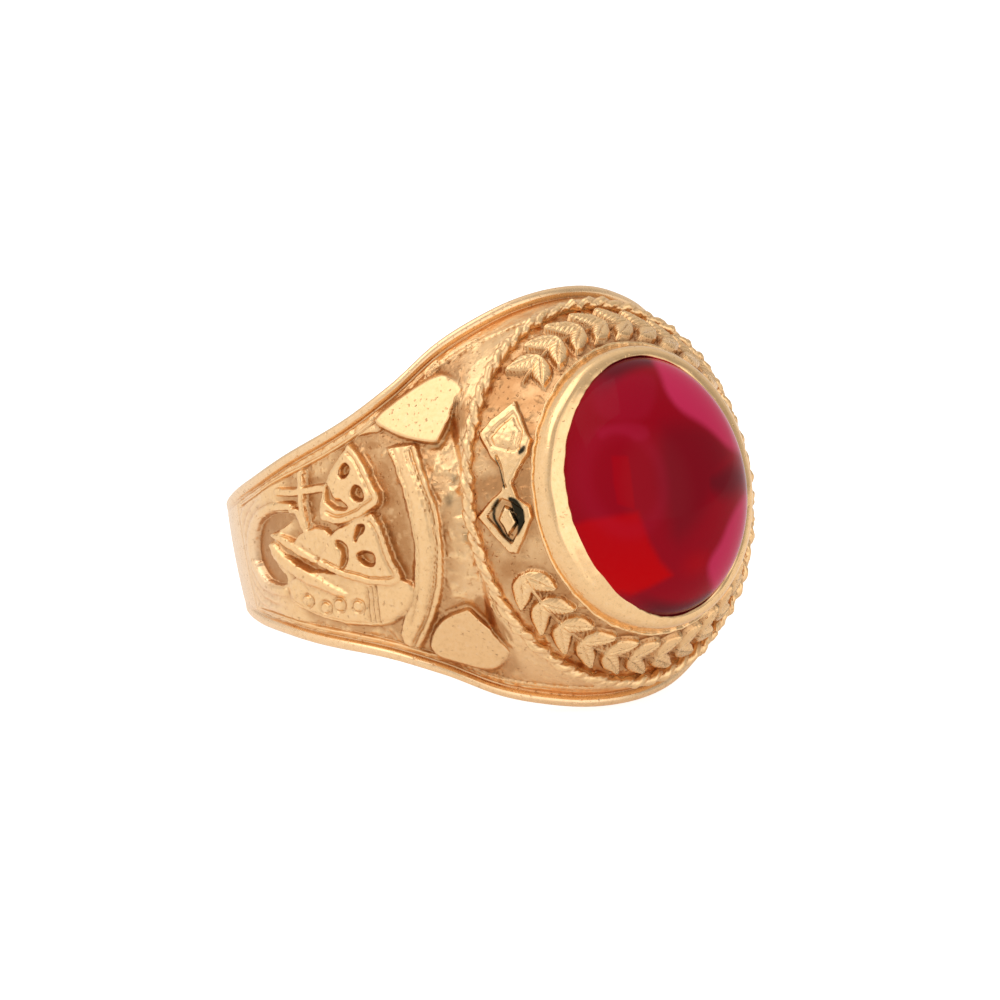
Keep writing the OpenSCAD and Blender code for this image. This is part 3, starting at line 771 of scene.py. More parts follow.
# Degrees round from the middle of a pair and share up the slope, then the level and how far it is crowned
LOZENGE_OUTLINE = (
    [(-26.5, 0.49), (-13, 0.13), (-7, 0.3), (-2.5, 0.45), (2.5, 0.52), (5.3, 0.47), (13, 0.11), (26.2, 0.41),
     (27.4, 0.51), (16.5, 0.84), (12, 0.83), (8.5, 0.68), (3, 0.62), (-2.7, 0.74), (-8, 0.83), (-14, 0.84)],
    0.04, 0.05)
LOZENGE_FORMS = [
    ([(-20, 0.53), (-12.2, 0.33), (-9.6, 0.4), (-9.6, 0.67), (-15.6, 0.68)], 0.08, 0.0),
    ([(-16.8, 0.52), (-12.6, 0.43), (-10.8, 0.47), (-11, 0.6), (-14.4, 0.6)], 0.13, 0.0),
    ([(11, 0.5), (15, 0.4), (20.5, 0.47), (16.6, 0.62), (12, 0.58)], 0.03, 0.1),
]
LOZENGE_SINKS = [
    ([(-22.8, 0.52), (-12.4, 0.24), (-8.8, 0.33), (-8, 0.62), (-9.4, 0.73), (-16.4, 0.74)], 0.0),
    ([(7.8, 0.46), (13.3, 0.22), (23.7, 0.47), (17.4, 0.74), (12.6, 0.75), (9.4, 0.62)], -0.16),
]
WAIST_GROOVE = [(-6.5, 0.42), (-1.6, 0.49), (4.4, 0.55)]
# Painted dark reflections in the lozenges
LOZENGE_DARK_REFLECTIONS = [
    [(-7, 0.72), (-9, 0.7), (-11.6, 0.8), (-8.8, 0.8)],
    [(-6.7, 0.39), (-1.6, 0.47), (4.5, 0.55), (5.2, 0.52), (-0.6, 0.44)],
    [(7.3, 0.56), (8.6, 0.69), (13.2, 0.77), (17.3, 0.75), (21, 0.62), (21.4, 0.56), (16.7, 0.63),
     (10.4, 0.58)],
    [(13, 0.25), (7.9, 0.41), (8.5, 0.45), (13.4, 0.3), (23.3, 0.48), (21.2, 0.55), (24.1, 0.46)],
]
# The name band is drawn flat, with so many millimetres to a degree round it and from the rope to the bezel
ALONG, UP = 0.13, 3.45
# Height of the garland's stem on that drawing, and of the sunk ground
STEM = 0.475 * UP
NAME_GROUND = -0.27
# The bezel's width at the stone's ends, as a share of its width at the sides
BEZEL_END = 0.63


def bezel_halves():
    """Half width and half length of the bezel's foot."""
    return (mm("stone_wide") / 2 + mm("bezel_width"), mm("stone_long") / 2 + BEZEL_END * mm("bezel_width"))


def slope_point(t, k):
    """Place on the sloped name band by angle round the oval and share up the slope, and the way out of it."""
    bezel_x, bezel_y = bezel_halves()
    x = mm("foot_wide") + (bezel_x - mm("foot_wide")) * k
    y = mm("foot_long") + (bezel_y - mm("foot_long")) * k
    z = rope_level() + mm("name_rise") * k
    lean = math.atan2(mm("name_rise"), mm("foot_wide") - bezel_x)
    c, s = np.cos(np.radians(t)), np.sin(np.radians(t))
    normal = np.stack([c * y, s * x], -1)
    normal /= np.linalg.norm(normal, axis=-1, keepdims=True)
    return x * c, y * s, z, normal[..., 0] * math.sin(lean), normal[..., 1] * math.sin(lean), math.cos(lean)


def round_from(t, centre):
    """Millimetres round the name band from an angle of it."""
    return ((t - centre + 180) % 360 - 180) * ALONG


def lay_leaf(relief, stem, up, side):
    """One leaf with its vein and ribs, growing out of the stem to one side."""
    # Along the leaf and across it
    reach = stem * 0.81 + (up - STEM) * 0.586 * side
    across = -stem * 0.586 * side + (up - STEM) * 0.81
    s = np.clip((reach - 0.02) / 1.75, 0, 1)
    half = 0.49 * np.sin(math.pi * s ** 0.8) ** 0.75
    off = np.abs(across)
    inside = (reach > 0.02) & (reach < 1.77) & (off < half)
    dome = bulge(across, np.maximum(half, 1e-6))
    vein = 0.09 * smooth(0.07, 0, off) * smooth(0, 0.2, s)
    ribs = 0.022 * np.cos((reach - off * 0.9) * 2 * math.pi / 0.24) * smooth(0.06, 0.14, off)
    leaf = -0.13 + 0.3 * dome - vein + ribs * dome
    relief.height = np.where(inside, np.maximum(relief.height, leaf), relief.height)
    relief.shine = np.where(inside, np.maximum(relief.shine, 0.95 * dome), relief.shine)
    relief.deep = np.where(inside, relief.deep * (1 - dome), relief.deep)


def lay_garland(relief, t, k, low, high):
    """Leaves in pairs along one arc, and the stem between them."""
    for i in range(int((high - low) / LEAF_GAP)):
        for side in (-1, 1):
            lay_leaf(relief, round_from(t, low + i * LEAF_GAP), k * UP, side)
    off = np.abs(k * UP - STEM)
    on_stem = (off < 0.1) & (t > low) & (t < high)
    relief.height = np.where(on_stem, np.maximum(relief.height, -0.1 + 0.12 * bulge(off, 0.1)), relief.height)


def lay_lozenges(relief, t, k, centre):
    """Two lozenges joined by a waisted bar."""
    pair = relief.counted_from(round_from(t, centre), k * UP)

    def drawn(corners):
        return [(degrees * ALONG, share * UP) for degrees, share in corners]

    def raise_form(corners, level, crown):
        pair.form(drawn(corners), level, wall=0.055, crown=crown, crown_width=0.14, shine=1, times=0)

    raise_form(*LOZENGE_OUTLINE)
    # The sunk floors, with a little painted shade
    for shaded_hollow, floor in LOZENGE_SINKS:
        pair.sink(drawn(shaded_hollow), floor, wall=0.04, deep=0.1, times=0)
    for form in LOZENGE_FORMS:
        raise_form(*form)
    pair.cut(drawn(WAIST_GROOVE), width=0.08, depth=0.14)
    # Painted dark reflections
    for corners in LOZENGE_DARK_REFLECTIONS:
        pair.blacken(drawn(corners), 1.0, 0.05)


def name_relief(t, k):
    """The laurel garland and the lozenges over the grainy ground of the name band."""
    x, y = slope_point(t, k)[:2]
    relief = Relief(t * ALONG, k * UP, NAME_GROUND + layered(x, y, (0.045, 0.13, 21), (0.06, 0.27, 22)))
    # Painted shade over the sunk ground between the rope and the bezel, with some patina
    relief.deep = 0.9 * smooth(0.02, 0.1, k) * smooth(0.9, 0.84, k) * (0.8 + 0.6 * lumps(x, y, 0.8, 23))
    t = t + 0.35 * lumps(x, y, 0.4, 24)
    k = k + 0.012 * lumps(x, y, 0.4, 25)
    for low, high in LAUREL_ARCS:
        lay_garland(relief, t, k, low, high)
    for centre in LOZENGE_PAIRS:
        lay_lozenges(relief, t, k, centre)
    # A fine raised line below the bezel, with shallow ground above it and painted shade in the gap at the
    # bezel's foot
    relief.height = np.maximum(relief.height, NAME_GROUND + 0.08 * smooth(0.92, 0.96, k))
    relief.deep = np.maximum(relief.deep, 0.8 * smooth(0.93, 0.95, k))
    off = np.abs((k - 0.905) * UP)
    relief.height = np.maximum(relief.height, -0.25 + 0.24 * bulge(off, 0.1))
    relief.shine = np.maximum(relief.shine, 0.6 * smooth(0.1, 0.05, off))
    relief.height += 0.012 * lumps(x, y, 0.13, 26)
    return relief


def make_name_band():
    # The worked slope runs a little past the rope and the bezel, and the last rows close the shell under it
    past, under_rows = 0.02, 0.03

    def place(u, v):
        t = (u - 0.5) * 360
        t = np.where(t < 0, t + 360, t)
        top = v < 1 - under_rows
        k = np.where(top, -past + (1 + 2 * past) * v / (1 - under_rows), (1 - v) / under_rows)
        k = np.where(v >= 1, -past, k)
        x, y, z, out_x, out_y, out_z = slope_point(t, k)
        relief = name_relief(t, k)
        height = relief.height * smooth(-past, 0.03, k)
        # Painted shade in the hollows of the band
        deep = hollows(np.where(top, height, -0.2))
        height = np.where(top, height, np.where(v >= 1, 0, -1.1))
        return (x + out_x * height, y + out_y * height, z + out_z * height,
                {"shine": np.clip(relief.shine + crests(height), 0, 1),
                 "shaded_hollow": np.maximum(relief.deep, np.clip(deep / 0.14, 0, 0.9)), "black": relief.black})

    return shaped_grid("name_band", 760, 124, place)


def make_rope():
    """Two strands twisted round each other, uneven as cast, along the foot of the name band."""
    lobes = bpy.context.scene.ring_sizes.rope_lobes
    # Radius of the circle that the noise is read on
    run = 8.5

    def place(u, v):
        t, around = 2 * math.pi * u, 2 * math.pi * v
        half_x, half_y = mm("foot_wide"), mm("foot_long")
        twist = lobes / 2 * t + 0.5 * lumps(np.cos(t) * run, np.sin(t) * run, 1.1, 34)
        lobe = np.abs(np.cos(around - twist))
        a, b = np.cos(t) * run + 0.25 * np.cos(around), np.sin(t) * run + 0.25 * np.sin(around)
        r = mm("rope_radius") * (0.72 + 0.48 * lobe ** 1.1)
        r = r * (1 + 0.3 * lumps(a, b, 0.45, 31) + 0.14 * lumps(a, b, 0.17, 32))
        out_x, out_y = np.cos(t) * half_y, np.sin(t) * half_x
        size = np.hypot(out_x, out_y)
        x = half_x * np.cos(t) + r * np.cos(around) * (out_x / size)
        y = half_y * np.sin(t) + r * np.cos(around) * (out_y / size)
        lift = 0.035 * lumps(a, b, 1.3, 33) - 0.03
        z = rope_level() + lift + r * np.sin(around)
        # Painted shade in the gaps between the lobes
        return x, y, z, {"shine": smooth(0.55, 1.0, lobe) * 0.7, "shaded_hollow": smooth(0.35, 0.0, lobe) * 0.45,
                         "black": np.zeros(t.shape)}

    return shaped_grid("rope_border", 1440, 22, place)


# Shares of the bezel's width inwards and of its height upwards, round the rim and down inside
BEZEL_SECTION = np.array([
    [-0.1, -0.55], [-0.02, -0.2], [0, 0], [0.04, 0.24], [0.1, 0.48], [0.2, 0.68], [0.34, 0.83], [0.5, 0.93],
    [0.68, 0.99], [0.84, 1], [0.94, 0.96], [0.98, 0.84], [0.98, 0.4], [0.96, -0.1], [0.94, -0.8],
])


def make_bezel():
    inwards, upwards = BEZEL_SECTION.T
    step = np.concatenate([[0], np.cumsum(np.hypot(np.diff(inwards), np.diff(upwards) * 0.7))])
    step /= step[-1]
    # Share of the rows where the section ends and the shell closes under it
    section_end = 0.94

    def place(u, v):
        t = 2 * math.pi * u
        c, n = np.cos(t), np.sin(t)
        s = np.clip(v / section_end, 0, 1)
        i, h = np.interp(s, step, inwards), np.interp(s, step, upwards)
        half_x, half_y = bezel_halves()
        side, end = half_x - mm("stone_wide") / 2, half_y - mm("stone_long") / 2
        lip = smooth(0.5, 1, i)
        uneven = layered(c * 9, n * 9, (0.03, 1.5, 41), (0.02, 3.7, 42))
        # Rubbed further over the stone at one side, by hand
        over = (0.1 * smooth(0.2, -0.8, c) + 0.25 * np.exp(-(((np.degrees(t) - 214) / 24) ** 2))
                + 0.03 * lumps(c * 9, n * 9, 0.6, 44) * smooth(0.2, -0.5, c))
        x = half_x - i * side + (uneven - over) * lip
        y = half_y - i * end + (uneven - over) * lip
        wave = 0.035 * lumps(c * 8, n * 8, 1.3, 43) * smooth(0, 0.4, i)
        z = name_band_top() + h * mm("bezel_height") + wave + 0.9 * over * lip
        # Back under the rim, and closed where the section starts
        under, closed = v > section_end, v >= 1
        x = np.where(closed, half_x + 0.1 * side, np.where(under, half_x - 0.3, x))
        y = np.where(closed, half_y + 0.1 * end, np.where(under, half_y - 0.3, y))
        sunk = name_band_top() - 0.5 * (1 - v) / (1 - section_end) - 0.05
        z = np.where(closed, name_band_top() - 0.55 * mm("bezel_height"), np.where(under, sunk, z))
        return x * c, y * n, z, {"shine": np.ones(t.shape), "shaded_hollow": np.zeros(t.shape),
                                 "black": np.zeros(t.shape)}

    return shaped_grid("bezel", 360, 60, place)


# The stone
# Shares of the way up the base, of the widest line and of the base's depth
BASE_STOPS = [0, 0.5, 0.6, 0.95, 1]
BASE_SIZES = [0, 0.84, 0.9, 0.985, 1]
BASE_DEPTHS = [1, 1, 0.96, 0.15, 0]
# Places of painted light, painted shade and painted reflections in the stone, as shares of its half width and
# half length
STONE_WINDOW_REFLECTION = [(-0.672, 0.304), (-0.549, 0.281), (-0.575, 0.096), (-0.593, -0.122), (-0.717, -0.058),
                (-0.715, 0.105)]
STONE_LIGHT_BLOCK = [(-0.99, -0.16), (-0.912, -0.135), (-0.736, -0.14), (-0.569, -0.144), (-0.492, -0.387),
               (-0.394, -0.545), (-0.263, -0.669), (-0.432, -0.722), (-0.561, -0.761), (-0.72, -0.7),
               (-0.88, -0.5)]
STONE_VEIL_REFLECTION = [(-0.468, 0.861), (-0.278, 0.878), (0.019, 0.847), (-0.021, 0.753), (-0.147, 0.619),
              (-0.299, 0.52),
              (-0.518, 0.54), (-0.637, 0.614), (-0.589, 0.743)]
STONE_ARC_REFLECTION = [(-0.689, 0.529), (-0.52, 0.535), (-0.314, 0.491), (-0.301, 0.399), (-0.368, 0.373),
             (-0.452, 0.378),
             (-0.49, 0.432), (-0.606, 0.473), (-0.706, 0.437)]
STONE_SHADE_BAND = [(-0.2, 0.438), (0.013, 0.452), (0.306, 0.385), (0.502, 0.23), (0.568, 0.13), (0.356, 0.008),
              (0.108, -0.213), (-0.076, -0.366), (-0.276, -0.441), (-0.34, -0.144), (-0.328, 0.108)]
STONE_DARK_REFLECTION_BLOTCH = [(0.171, 0.033), (0.317, 0.041), (0.534, 0.069), (0.757, 0.001), (0.761, -0.11),
                (0.524, -0.177), (0.304, -0.167), (0.147, -0.101)]
STONE_RIM_REFLECTION_TOP = [(0.17, 0.95), (0.085, 0.817), (0.026, 0.679), (0.086, 0.527), (0.286, 0.406), (0.426, 0.295),
                 (0.554, 0.178), (0.78, 0.12), (1.0, 0.1), (0.98, 0.4), (0.78, 0.75), (0.5, 0.98)]
STONE_RIM_REFLECTION_LOW = [(0.777, -0.184), (0.551, -0.252), (0.377, -0.375), (0.272, -0.505), (0.153, -0.595),
                 (0.115, -0.669), (0.179, -0.775), (0.4, -0.93), (0.75, -0.75), (0.98, -0.4), (0.98, -0.15)]


def make_stone():
    # Share of the rows that the base gets, below the dome
    base_rows = 0.25
    # The named width and length are those at the lip's edge, above the widest line
    wider = 1 / bulge(mm("lip_height"), mm("dome_height"))
    half_x, half_y = wider * mm("stone_wide") / 2, wider * mm("stone_long") / 2
    girdle = name_band_top() + mm("bezel_height") - mm("lip_height")

    def place(u, v):
        t = 2 * math.pi * u
        dome = v > base_rows
        rise = (v - base_rows) / (1 - base_rows) * math.pi / 2
        base = np.clip(v / base_rows, 0, 1)
        size = np.where(dome, np.cos(rise), np.interp(base, BASE_STOPS, BASE_SIZES))
        size = np.where(v >= 1, 0, size)
        z = np.where(dome, girdle + mm("dome_height") * np.sin(rise),
                     girdle - mm("stone_base") * np.interp(base, BASE_STOPS, BASE_DEPTHS))
        p, q = size * np.cos(t), size * np.sin(t)
        return half_x * p, half_y * q, z, stone_masks(p, q)

    return shaped_grid("cabochon", 300, 170, place)


def stone_masks(p, q):
    """Painted light, painted shade and painted reflections in the stone, by the share of the way across and
    along it.
    """
    def patch(corners, soft, times=1):
        return smooth(soft, -soft, outline_distance(p, q, rounded(corners, times)))

    # Painted light: a window's reflection, a bright block at the lower left and a glow near the lower end
    glow = 0.3 * patch(STONE_WINDOW_REFLECTION, 0.012, 0)
    glow = np.maximum(glow, patch(STONE_LIGHT_BLOCK, 0.035, 0) * (0.75 + 0.25 * smooth(-0.2, -0.7, q)))
    glow = np.maximum(glow, 0.35 * smooth(0.3, 0, np.hypot((p + 0.02) / 0.9, (q + 0.62) / 0.5)))
    arc = smooth(0.1, 0.0, np.abs(np.hypot(p + 0.6, (q - 0.1) * 0.8) - 0.3))
    # Painted reflections: soft veils and an arc
    veil_reflection = 0.1 * patch(STONE_VEIL_REFLECTION, 0.04) + 0.16 * patch(STONE_ARC_REFLECTION, 0.03) + 0.07 * arc
    # Painted shade and painted dark reflections
    dark = np.maximum(0.5 * patch(STONE_SHADE_BAND, 0.12), 0.85 * patch(STONE_DARK_REFLECTION_BLOTCH, 0.09, 2))
    # Painted shade at the two ends of the stone, close to the bezel
    edge = np.hypot(p, q)
    at_ends = smooth(0.6, 0.85, np.abs(q) / np.maximum(edge, 1e-6)) * smooth(-0.62, -0.25, p)
    dark = np.maximum(dark, smooth(0.86, 0.95, edge) * at_ends)
    # Painted reflection along the far limb, with the veils
    rim = np.maximum(patch(STONE_RIM_REFLECTION_TOP, 0.05, 2), 0.95 * patch(STONE_RIM_REFLECTION_LOW, 0.05, 2))
    rim = np.maximum(rim, veil_reflection)
    return {"glow": glow * (1 - 0.8 * rim), "shade": dark * (1 - rim), "rim": rim * 0.8}


# Finishes, with painted shade in the gold and painted light, shade and reflections in the stone
def new_group(name, inputs, outputs):
    """A node group, the sockets that bring its inputs and the sockets that take its outputs."""
    group = bpy.data.node_groups.new(name, "ShaderNodeTree")
    for label, kind, default in inputs:
        socket = group.interface.new_socket(label, in_out="INPUT", socket_type=kind)
        socket.default_value = default
    for label, kind in outputs:
        group.interface.new_socket(label, in_out="OUTPUT", socket_type=kind)
    return group, group.nodes.new("NodeGroupInput").outputs, group.nodes.new("NodeGroupOutput").inputs


def add(tree, kind, **settings):
    node = tree.nodes.new(kind)
    for key, value in settings.items():
        setattr(node, key, value)
    return node


def feed(tree, sockets, values):
    """Links each socket to its value, or sets it where the value is a number or a colour."""
    for socket, value in zip(sockets, values):
        if isinstance(value, (int, float, tuple)):
            socket.default_value = value
        else:
            tree.links.new(value, socket)


def maths(tree, operation, *values, clamp=False):
    node = add(tree, "ShaderNodeMath", operation=operation, use_clamp=clamp)
    feed(tree, node.inputs, values)
    return node.outputs[0]


def mix_colours(tree, amount, a, b):
    node = add(tree, "ShaderNodeMix", data_type="RGBA")
    feed(tree, (node.inputs["Factor"], node.inputs[6], node.inputs[7]), (amount, a, b))
    return node.outputs[2]


def cast_gold_group():
    """Polished high places over a matt cast ground, with painted shade and some patina in its hollows."""
    name = "Cast gold"
    if name in bpy.data.node_groups:
        return bpy.data.node_groups[name]
    group, into, out = new_group(name, [
        ("Shine", "NodeSocketFloat", 0), ("Shaded Hollow", "NodeSocketFloat", 0), ("Black And Dark Reflection", "NodeSocketFloat", 0),
        ("Polished", "NodeSocketColor", (1, 1, 1, 1)), ("Cast", "NodeSocketColor", (1, 1, 1, 1)),
        ("Deep", "NodeSocketColor", (1, 1, 1, 1)), ("Blackened And Dark Reflection", "NodeSocketColor", (0, 0, 0, 1)),
        ("Pale", "NodeSocketColor", (1, 1, 1, 1)), ("Rubbed", "NodeSocketColor", (1, 1, 1, 1)),
        ("Rub", "NodeSocketFloat", 0), ("Smooth Roughness", "NodeSocketFloat", 0.1),
        ("Cast Roughness", "NodeSocketFloat", 0.4), ("Grain Depth", "NodeSocketFloat", 1),
    ], [("Color", "NodeSocketColor"), ("Roughness", "NodeSocketFloat"), ("Height", "NodeSocketFloat")])
    place = add(group, "ShaderNodeTexCoord").outputs["Object"]

    def noise(scale, detail, rough=0.5, distortion=0.0):
        node = add(group, "ShaderNodeTexNoise")
        group.links.new(place, node.inputs["Vector"])
        settings = {"Scale": scale, "Detail": detail, "Roughness": rough, "Distortion": distortion}
        for key, value in settings.items():
            node.inputs[key].default_value = value
        return node.outputs["Fac"]

    def plus(a, b, clamp=False):
        return maths(group, "ADD", a, b, clamp=clamp)

    def minus(a, b, clamp=False):
        return maths(group, "SUBTRACT", a, b, clamp=clamp)

    def times(a, b, clamp=False):
        return maths(group, "MULTIPLY", a, b, clamp=clamp)

    def times_plus(a, b, c):
        return maths(group, "MULTIPLY_ADD", a, b, c)

    # How polished each place is: at least half, more in blotches, and wholly where its mask says so
    wear = plus(into["Shine"], times_plus(noise(420, 3), 0.5, 0.5), clamp=True)
    dull = minus(1.0, wear, clamp=True)
    # Colour
    mottle = noise(4300, 3, 0.7)
    pale = times(minus(mottle, 0.52), 2.6, clamp=True)
    dark = times(minus(0.47, mottle), 3.0, clamp=True)
    tarnish = noise(1900, 5, 0.7)
    specks = times(minus(noise(5200, 1), 0.66), 9, clamp=True)
    base = mix_colours(group, wear, into["Cast"], into["Polished"])
    base = mix_colours(group, into["Rub"], base, into["Rubbed"])
    base = mix_colours(group, times(pale, 0.5), base, into["Pale"])
    base = mix_colours(group, times(dark, 0.45), base, into["Deep"])
    # Painted shade in the hollows, with some patina
    base = mix_colours(group, times(into["Shaded Hollow"], plus(tarnish, 0.5), clamp=True), base, into["Deep"])
    # Black stains, and painted dark reflections in the lozenges
    base = mix_colours(group, times(into["Black And Dark Reflection"], plus(tarnish, 0.55), clamp=True), base, into["Blackened And Dark Reflection"])
    base = mix_colours(group, times(specks, 0.4), base, into["Deep"])
    # Roughness
    grit = noise(9000, 4, 0.65)
    span = minus(into["Cast Roughness"], into["Smooth Roughness"])
    rough = times_plus(dull, span, into["Smooth Roughness"])
    rough = plus(rough, times(minus(grit, 0.5), 0.12), clamp=True)
    # Grain of the casting, deeper where it is dull, with pits at the specks
    pebbles = times(times(noise(3400, 2, 0.6, distortion=1.2), 2.2), dull)
    height = times_plus(grit, plus(dull, 0.1), pebbles)
    height = times(minus(height, specks), into["Grain Depth"])
    feed(group, (out["Color"], out["Roughness"], out["Height"]), (base, rough, height))
    return group


def attribute(tree, name):
    return add(tree, "ShaderNodeAttribute", attribute_name=name).outputs["Fac"]


def new_material(name):
    """A material, its tree and its shader's inputs."""
    material = bpy.data.materials.new(name)
    material.use_nodes = True
    return material, material.node_tree, material.node_tree.nodes["Principled BSDF"].inputs


def gold(name, smooth_roughness=0.3, cast_roughness=0.48, grain=1.0):
    """Gold that reads a piece's own masks."""
    material, tree, shader = new_material(name)
    group = add(tree, "ShaderNodeGroup", node_tree=cast_gold_group())
    values = {"Shine": attribute(tree, "shine"), "Shaded Hollow": attribute(tree, "shaded_hollow"),
              "Black And Dark Reflection": attribute(tree, "black"), "Rub": attribute(tree, "rub"),
              "Polished": colour("polished"), "Cast": colour("cast"), "Rubbed": colour("rubbed"),
              "Deep": colour("shaded_hollow"), "Pale": colour("pale"), "Blackened And Dark Reflection": colour("blackened"),
              "Smooth Roughness": smooth_roughness, "Cast Roughness": cast_roughness, "Grain Depth": grain}
    feed(tree, [group.inputs[key] for key in values], values.values())
    bump = add(tree, "ShaderNodeBump")
    feed(tree, (bump.inputs["Strength"], bump.inputs["Distance"]), (0.8, 0.035 * MM))
    tree.links.new(group.outputs["Height"], bump.inputs["Height"])
    feed(tree, (shader["Metallic"], shader["Base Color"], shader["Roughness"], shader["Normal"]),
         (1.0, group.outputs["Color"], group.outputs["Roughness"], bump.outputs["Normal"]))
    return material


def red_stone():
    material, tree, shader = new_material("red_cabochon")
    # The stone's light, shade and reflections are painted into its colour, with only a faint real gloss
    base = mix_colours(tree, attribute(tree, "glow"), colour("stone_body"), colour("stone_glow"))
    base = mix_colours(tree, attribute(tree, "shade"), base, colour("stone_shade_and_dark_reflection"))
    base = mix_colours(tree, attribute(tree, "rim"), base, colour("stone_rim_reflection"))
    feed(tree, (shader["Base Color"], shader["Roughness"], shader["Specular IOR Level"]), (base, 0.04, 0.05))
    return material


# The stage
def make_table():
    bm = bmesh.new()
    bmesh.ops.create_circle(bm, cap_ends=True, segments=64, radius=2.5)
    mesh = bpy.data.meshes.new("table")
    bm.to_mesh(mesh)
    bm.free()
    table = bpy.data.objects.new("table", mesh)
    bpy.context.scene.collection.objects.link(table)
    material, tree, shader = new_material("table_white")
    feed(tree, (shader["Base Color"], shader["Roughness"], shader["Specular IOR Level"]),
         (colour("table"), 0.9, 0.0))
    shader["Emission Color"].default_value = (1, 1, 1, 1)
    # White to the eye, softer in the metal
    to_eye = add(tree, "ShaderNodeLightPath").outputs["Is Camera Ray"]
    tree.links.new(maths(tree, "MULTIPLY_ADD", to_eye, 0.45, 0.36), shader["Emission Strength"])
    mesh.materials.append(material)


def make_room():
    """A white tent that is darker towards the front, with a bright window in it."""
    world = bpy.data.worlds.new("soft_room")
    bpy.context.scene.world = world
    world.use_nodes = True
    tree = world.node_tree
    toward = add(tree, "ShaderNodeTexCoord").outputs["Generated"]
    split = add(tree, "ShaderNodeSeparateXYZ")
    tree.links.new(toward, split.inputs[0])

    def ramp(value, low, high, at_low, at_high):
        node = add(tree, "ShaderNodeMapRange", interpolation_type="SMOOTHSTEP")
        tree.links.new(value, node.inputs["Value"])
        feed(tree, [node.inputs[key] for key in ("From Min", "From Max", "To Min", "To Max")],
             (low, high, at_low, at_high))
        return node.outputs[0]

    window = add(tree, "ShaderNodeVectorMath", operation="DOT_PRODUCT")
    feed(tree, window.inputs, (toward, (0.05, -0.96, 0.27)))
    light = ramp(split.outputs["Y"], -0.7, 0.2, 0.42, 0.72)
    light = maths(tree, "ADD", light, ramp(split.outputs["X"], -0.1, -0.85, 0.0, 0.3))
    light = maths(tree, "ADD", light, ramp(split.outputs["Z"], 0.45, 0.95, 0.0, 0.12))
    light = maths(tree, "ADD", light, ramp(window.outputs["Value"], 0.78, 0.96, 0.0, 0.95))
    feed(tree, tree.nodes["Background"].inputs, ((1, 1, 1, 1), light))
    bpy.context.scene.view_settings.view_transform = "Standard"


def make_lamp():
    light = bpy.data.lights.new("top_light", "AREA")
    light.shape = "RECTANGLE"
    light.size, light.size_y = 0.6, 0.6
    light.energy = 1.05
    lamp = bpy.data.objects.new("top_light", light)
    place, target = Vector((-0.25, 0.1, 0.6)), Vector((0, 0, 0.01))
    lamp.location = place
    lamp.rotation_euler = (target - place).to_track_quat("-Z", "Y").to_euler()
    bpy.context.scene.collection.objects.link(lamp)


def make_camera():
    """The photograph's own view, found from the ring's outlines."""
    # Where the camera stands round the ring, in degrees and millimetres
    around, above = math.radians(-37), math.radians(16.75)
    distance = 270.0
    # The square picture's side, the middle of the hole in it, and a millimetre there, in pixels
    picture, seen_x, seen_y, scale = 1000, 460.8, 513.3, 20.64
    back = Vector((math.sin(around) * math.cos(above), -math.cos(around) * math.cos(above), math.sin(above)))
    right = Vector((math.cos(around), math.sin(around), 0))
    up = back.cross(right)
    eye = back * distance - right * (seen_x - picture / 2) / scale - up * (picture / 2 - seen_y) / scale
    lens = bpy.data.cameras.new("photo_view")
    lens.sensor_width = 36
    lens.lens = scale * distance * lens.sensor_width / picture
    lens.clip_start, lens.clip_end = 0.01, 20
    camera = bpy.data.objects.new("photo_view", lens)
    turn = Matrix((right, up, back)).transposed()
    camera.matrix_world = Matrix.Translation(eye * MM + Vector(HOLE_PLACE)) @ turn.to_4x4()
    bpy.context.scene.collection.objects.link(camera)
    bpy.context.scene.camera = camera


# Operators
class RING_OT_shank(bpy.types.Operator):
    """Make the shank with its rolled rails, side walls and finger hole"""
    bl_idname = "ring.shank"
    bl_label = "Make the Shank"

    def execute(self, context):
        finish_piece(make_shank(), gold("shank_gold", 0.28, 0.4, 0.6), "band", slot="gold")
        return {"FINISHED"}


class RING_OT_shoulders(bpy.types.Operator):
    """Make the worked ground and the emblem of both shoulders"""
    bl_idname = "ring.shoulders"
    bl_label = "Make the Shoulders"

    def execute(self, context):
        near = make_shoulder("near_shoulder", False, 330, 290)
        far = make_shoulder("far_shoulder", True, 250, 200)
        material = gold("shoulder_gold")
        for piece in (near, far):
            finish_piece(piece, material, "band", slot="gold")
        return {"FINISHED"}


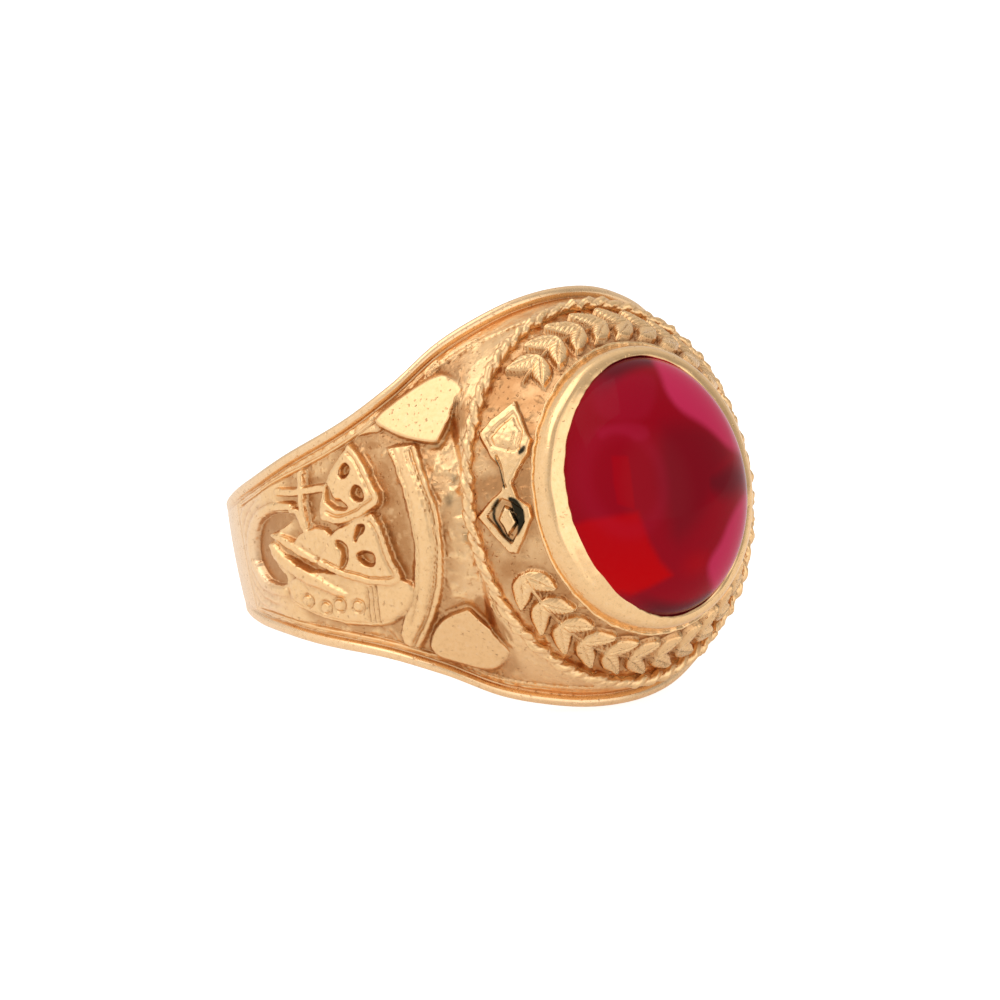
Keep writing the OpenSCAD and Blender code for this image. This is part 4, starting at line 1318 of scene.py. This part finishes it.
class RING_OT_head(bpy.types.Operator):
    """Make the sloped name band, the rope border and the bezel"""
    bl_idname = "ring.head"
    bl_label = "Make the Head"

    def execute(self, context):
        finish_piece(make_name_band(), gold("name_band_gold", 0.26, 0.46), "band", slot="gold")
        finish_piece(make_rope(), gold("rope_gold", 0.32, 0.46), "band", slot="gold")
        finish_piece(make_bezel(), gold("bezel_gold", 0.2, 0.3, 0.3), "band", slot="gold")
        return {"FINISHED"}


class RING_OT_stone(bpy.types.Operator):
    """Make the oval cabochon"""
    bl_idname = "ring.stone"
    bl_label = "Make the Stone"

    def execute(self, context):
        finish_piece(make_stone(), red_stone(), "stone", slot="red_stone")
        return {"FINISHED"}


class RING_OT_stage(bpy.types.Operator):
    """Make the table, the lights and the camera"""
    bl_idname = "ring.stage"
    bl_label = "Make the Stage"

    def execute(self, context):
        make_table()
        make_room()
        make_lamp()
        make_camera()
        return {"FINISHED"}


class RING_PT_panel(bpy.types.Panel):
    """The ring's steps and values"""
    bl_idname = "RING_PT_panel"
    bl_label = "Class Ring"
    bl_space_type = "VIEW_3D"
    bl_region_type = "UI"
    bl_category = "Class Ring"

    def draw(self, context):
        for step in STEPS:
            self.layout.operator(step.bl_idname)
        for group in (context.scene.ring_sizes, context.scene.ring_finish):
            for name in group.__annotations__:
                self.layout.prop(group, name)


STEPS = (RING_OT_shank, RING_OT_shoulders, RING_OT_head, RING_OT_stone, RING_OT_stage)
CLASSES = (RingSizes, RingFinish, *STEPS, RING_PT_panel)


def register():
    for item in CLASSES:
        bpy.utils.register_class(item)
    bpy.types.Scene.ring_sizes = PointerProperty(type=RingSizes)
    bpy.types.Scene.ring_finish = PointerProperty(type=RingFinish)


def unregister():
    del bpy.types.Scene.ring_finish
    del bpy.types.Scene.ring_sizes
    for item in reversed(CLASSES):
        bpy.utils.unregister_class(item)


def main():
    register()
    bpy.ops.ring.shank()
    bpy.ops.ring.shoulders()
    bpy.ops.ring.head()
    bpy.ops.ring.stone()
    bpy.ops.ring.stage()


if __name__ == "__main__":
    main()
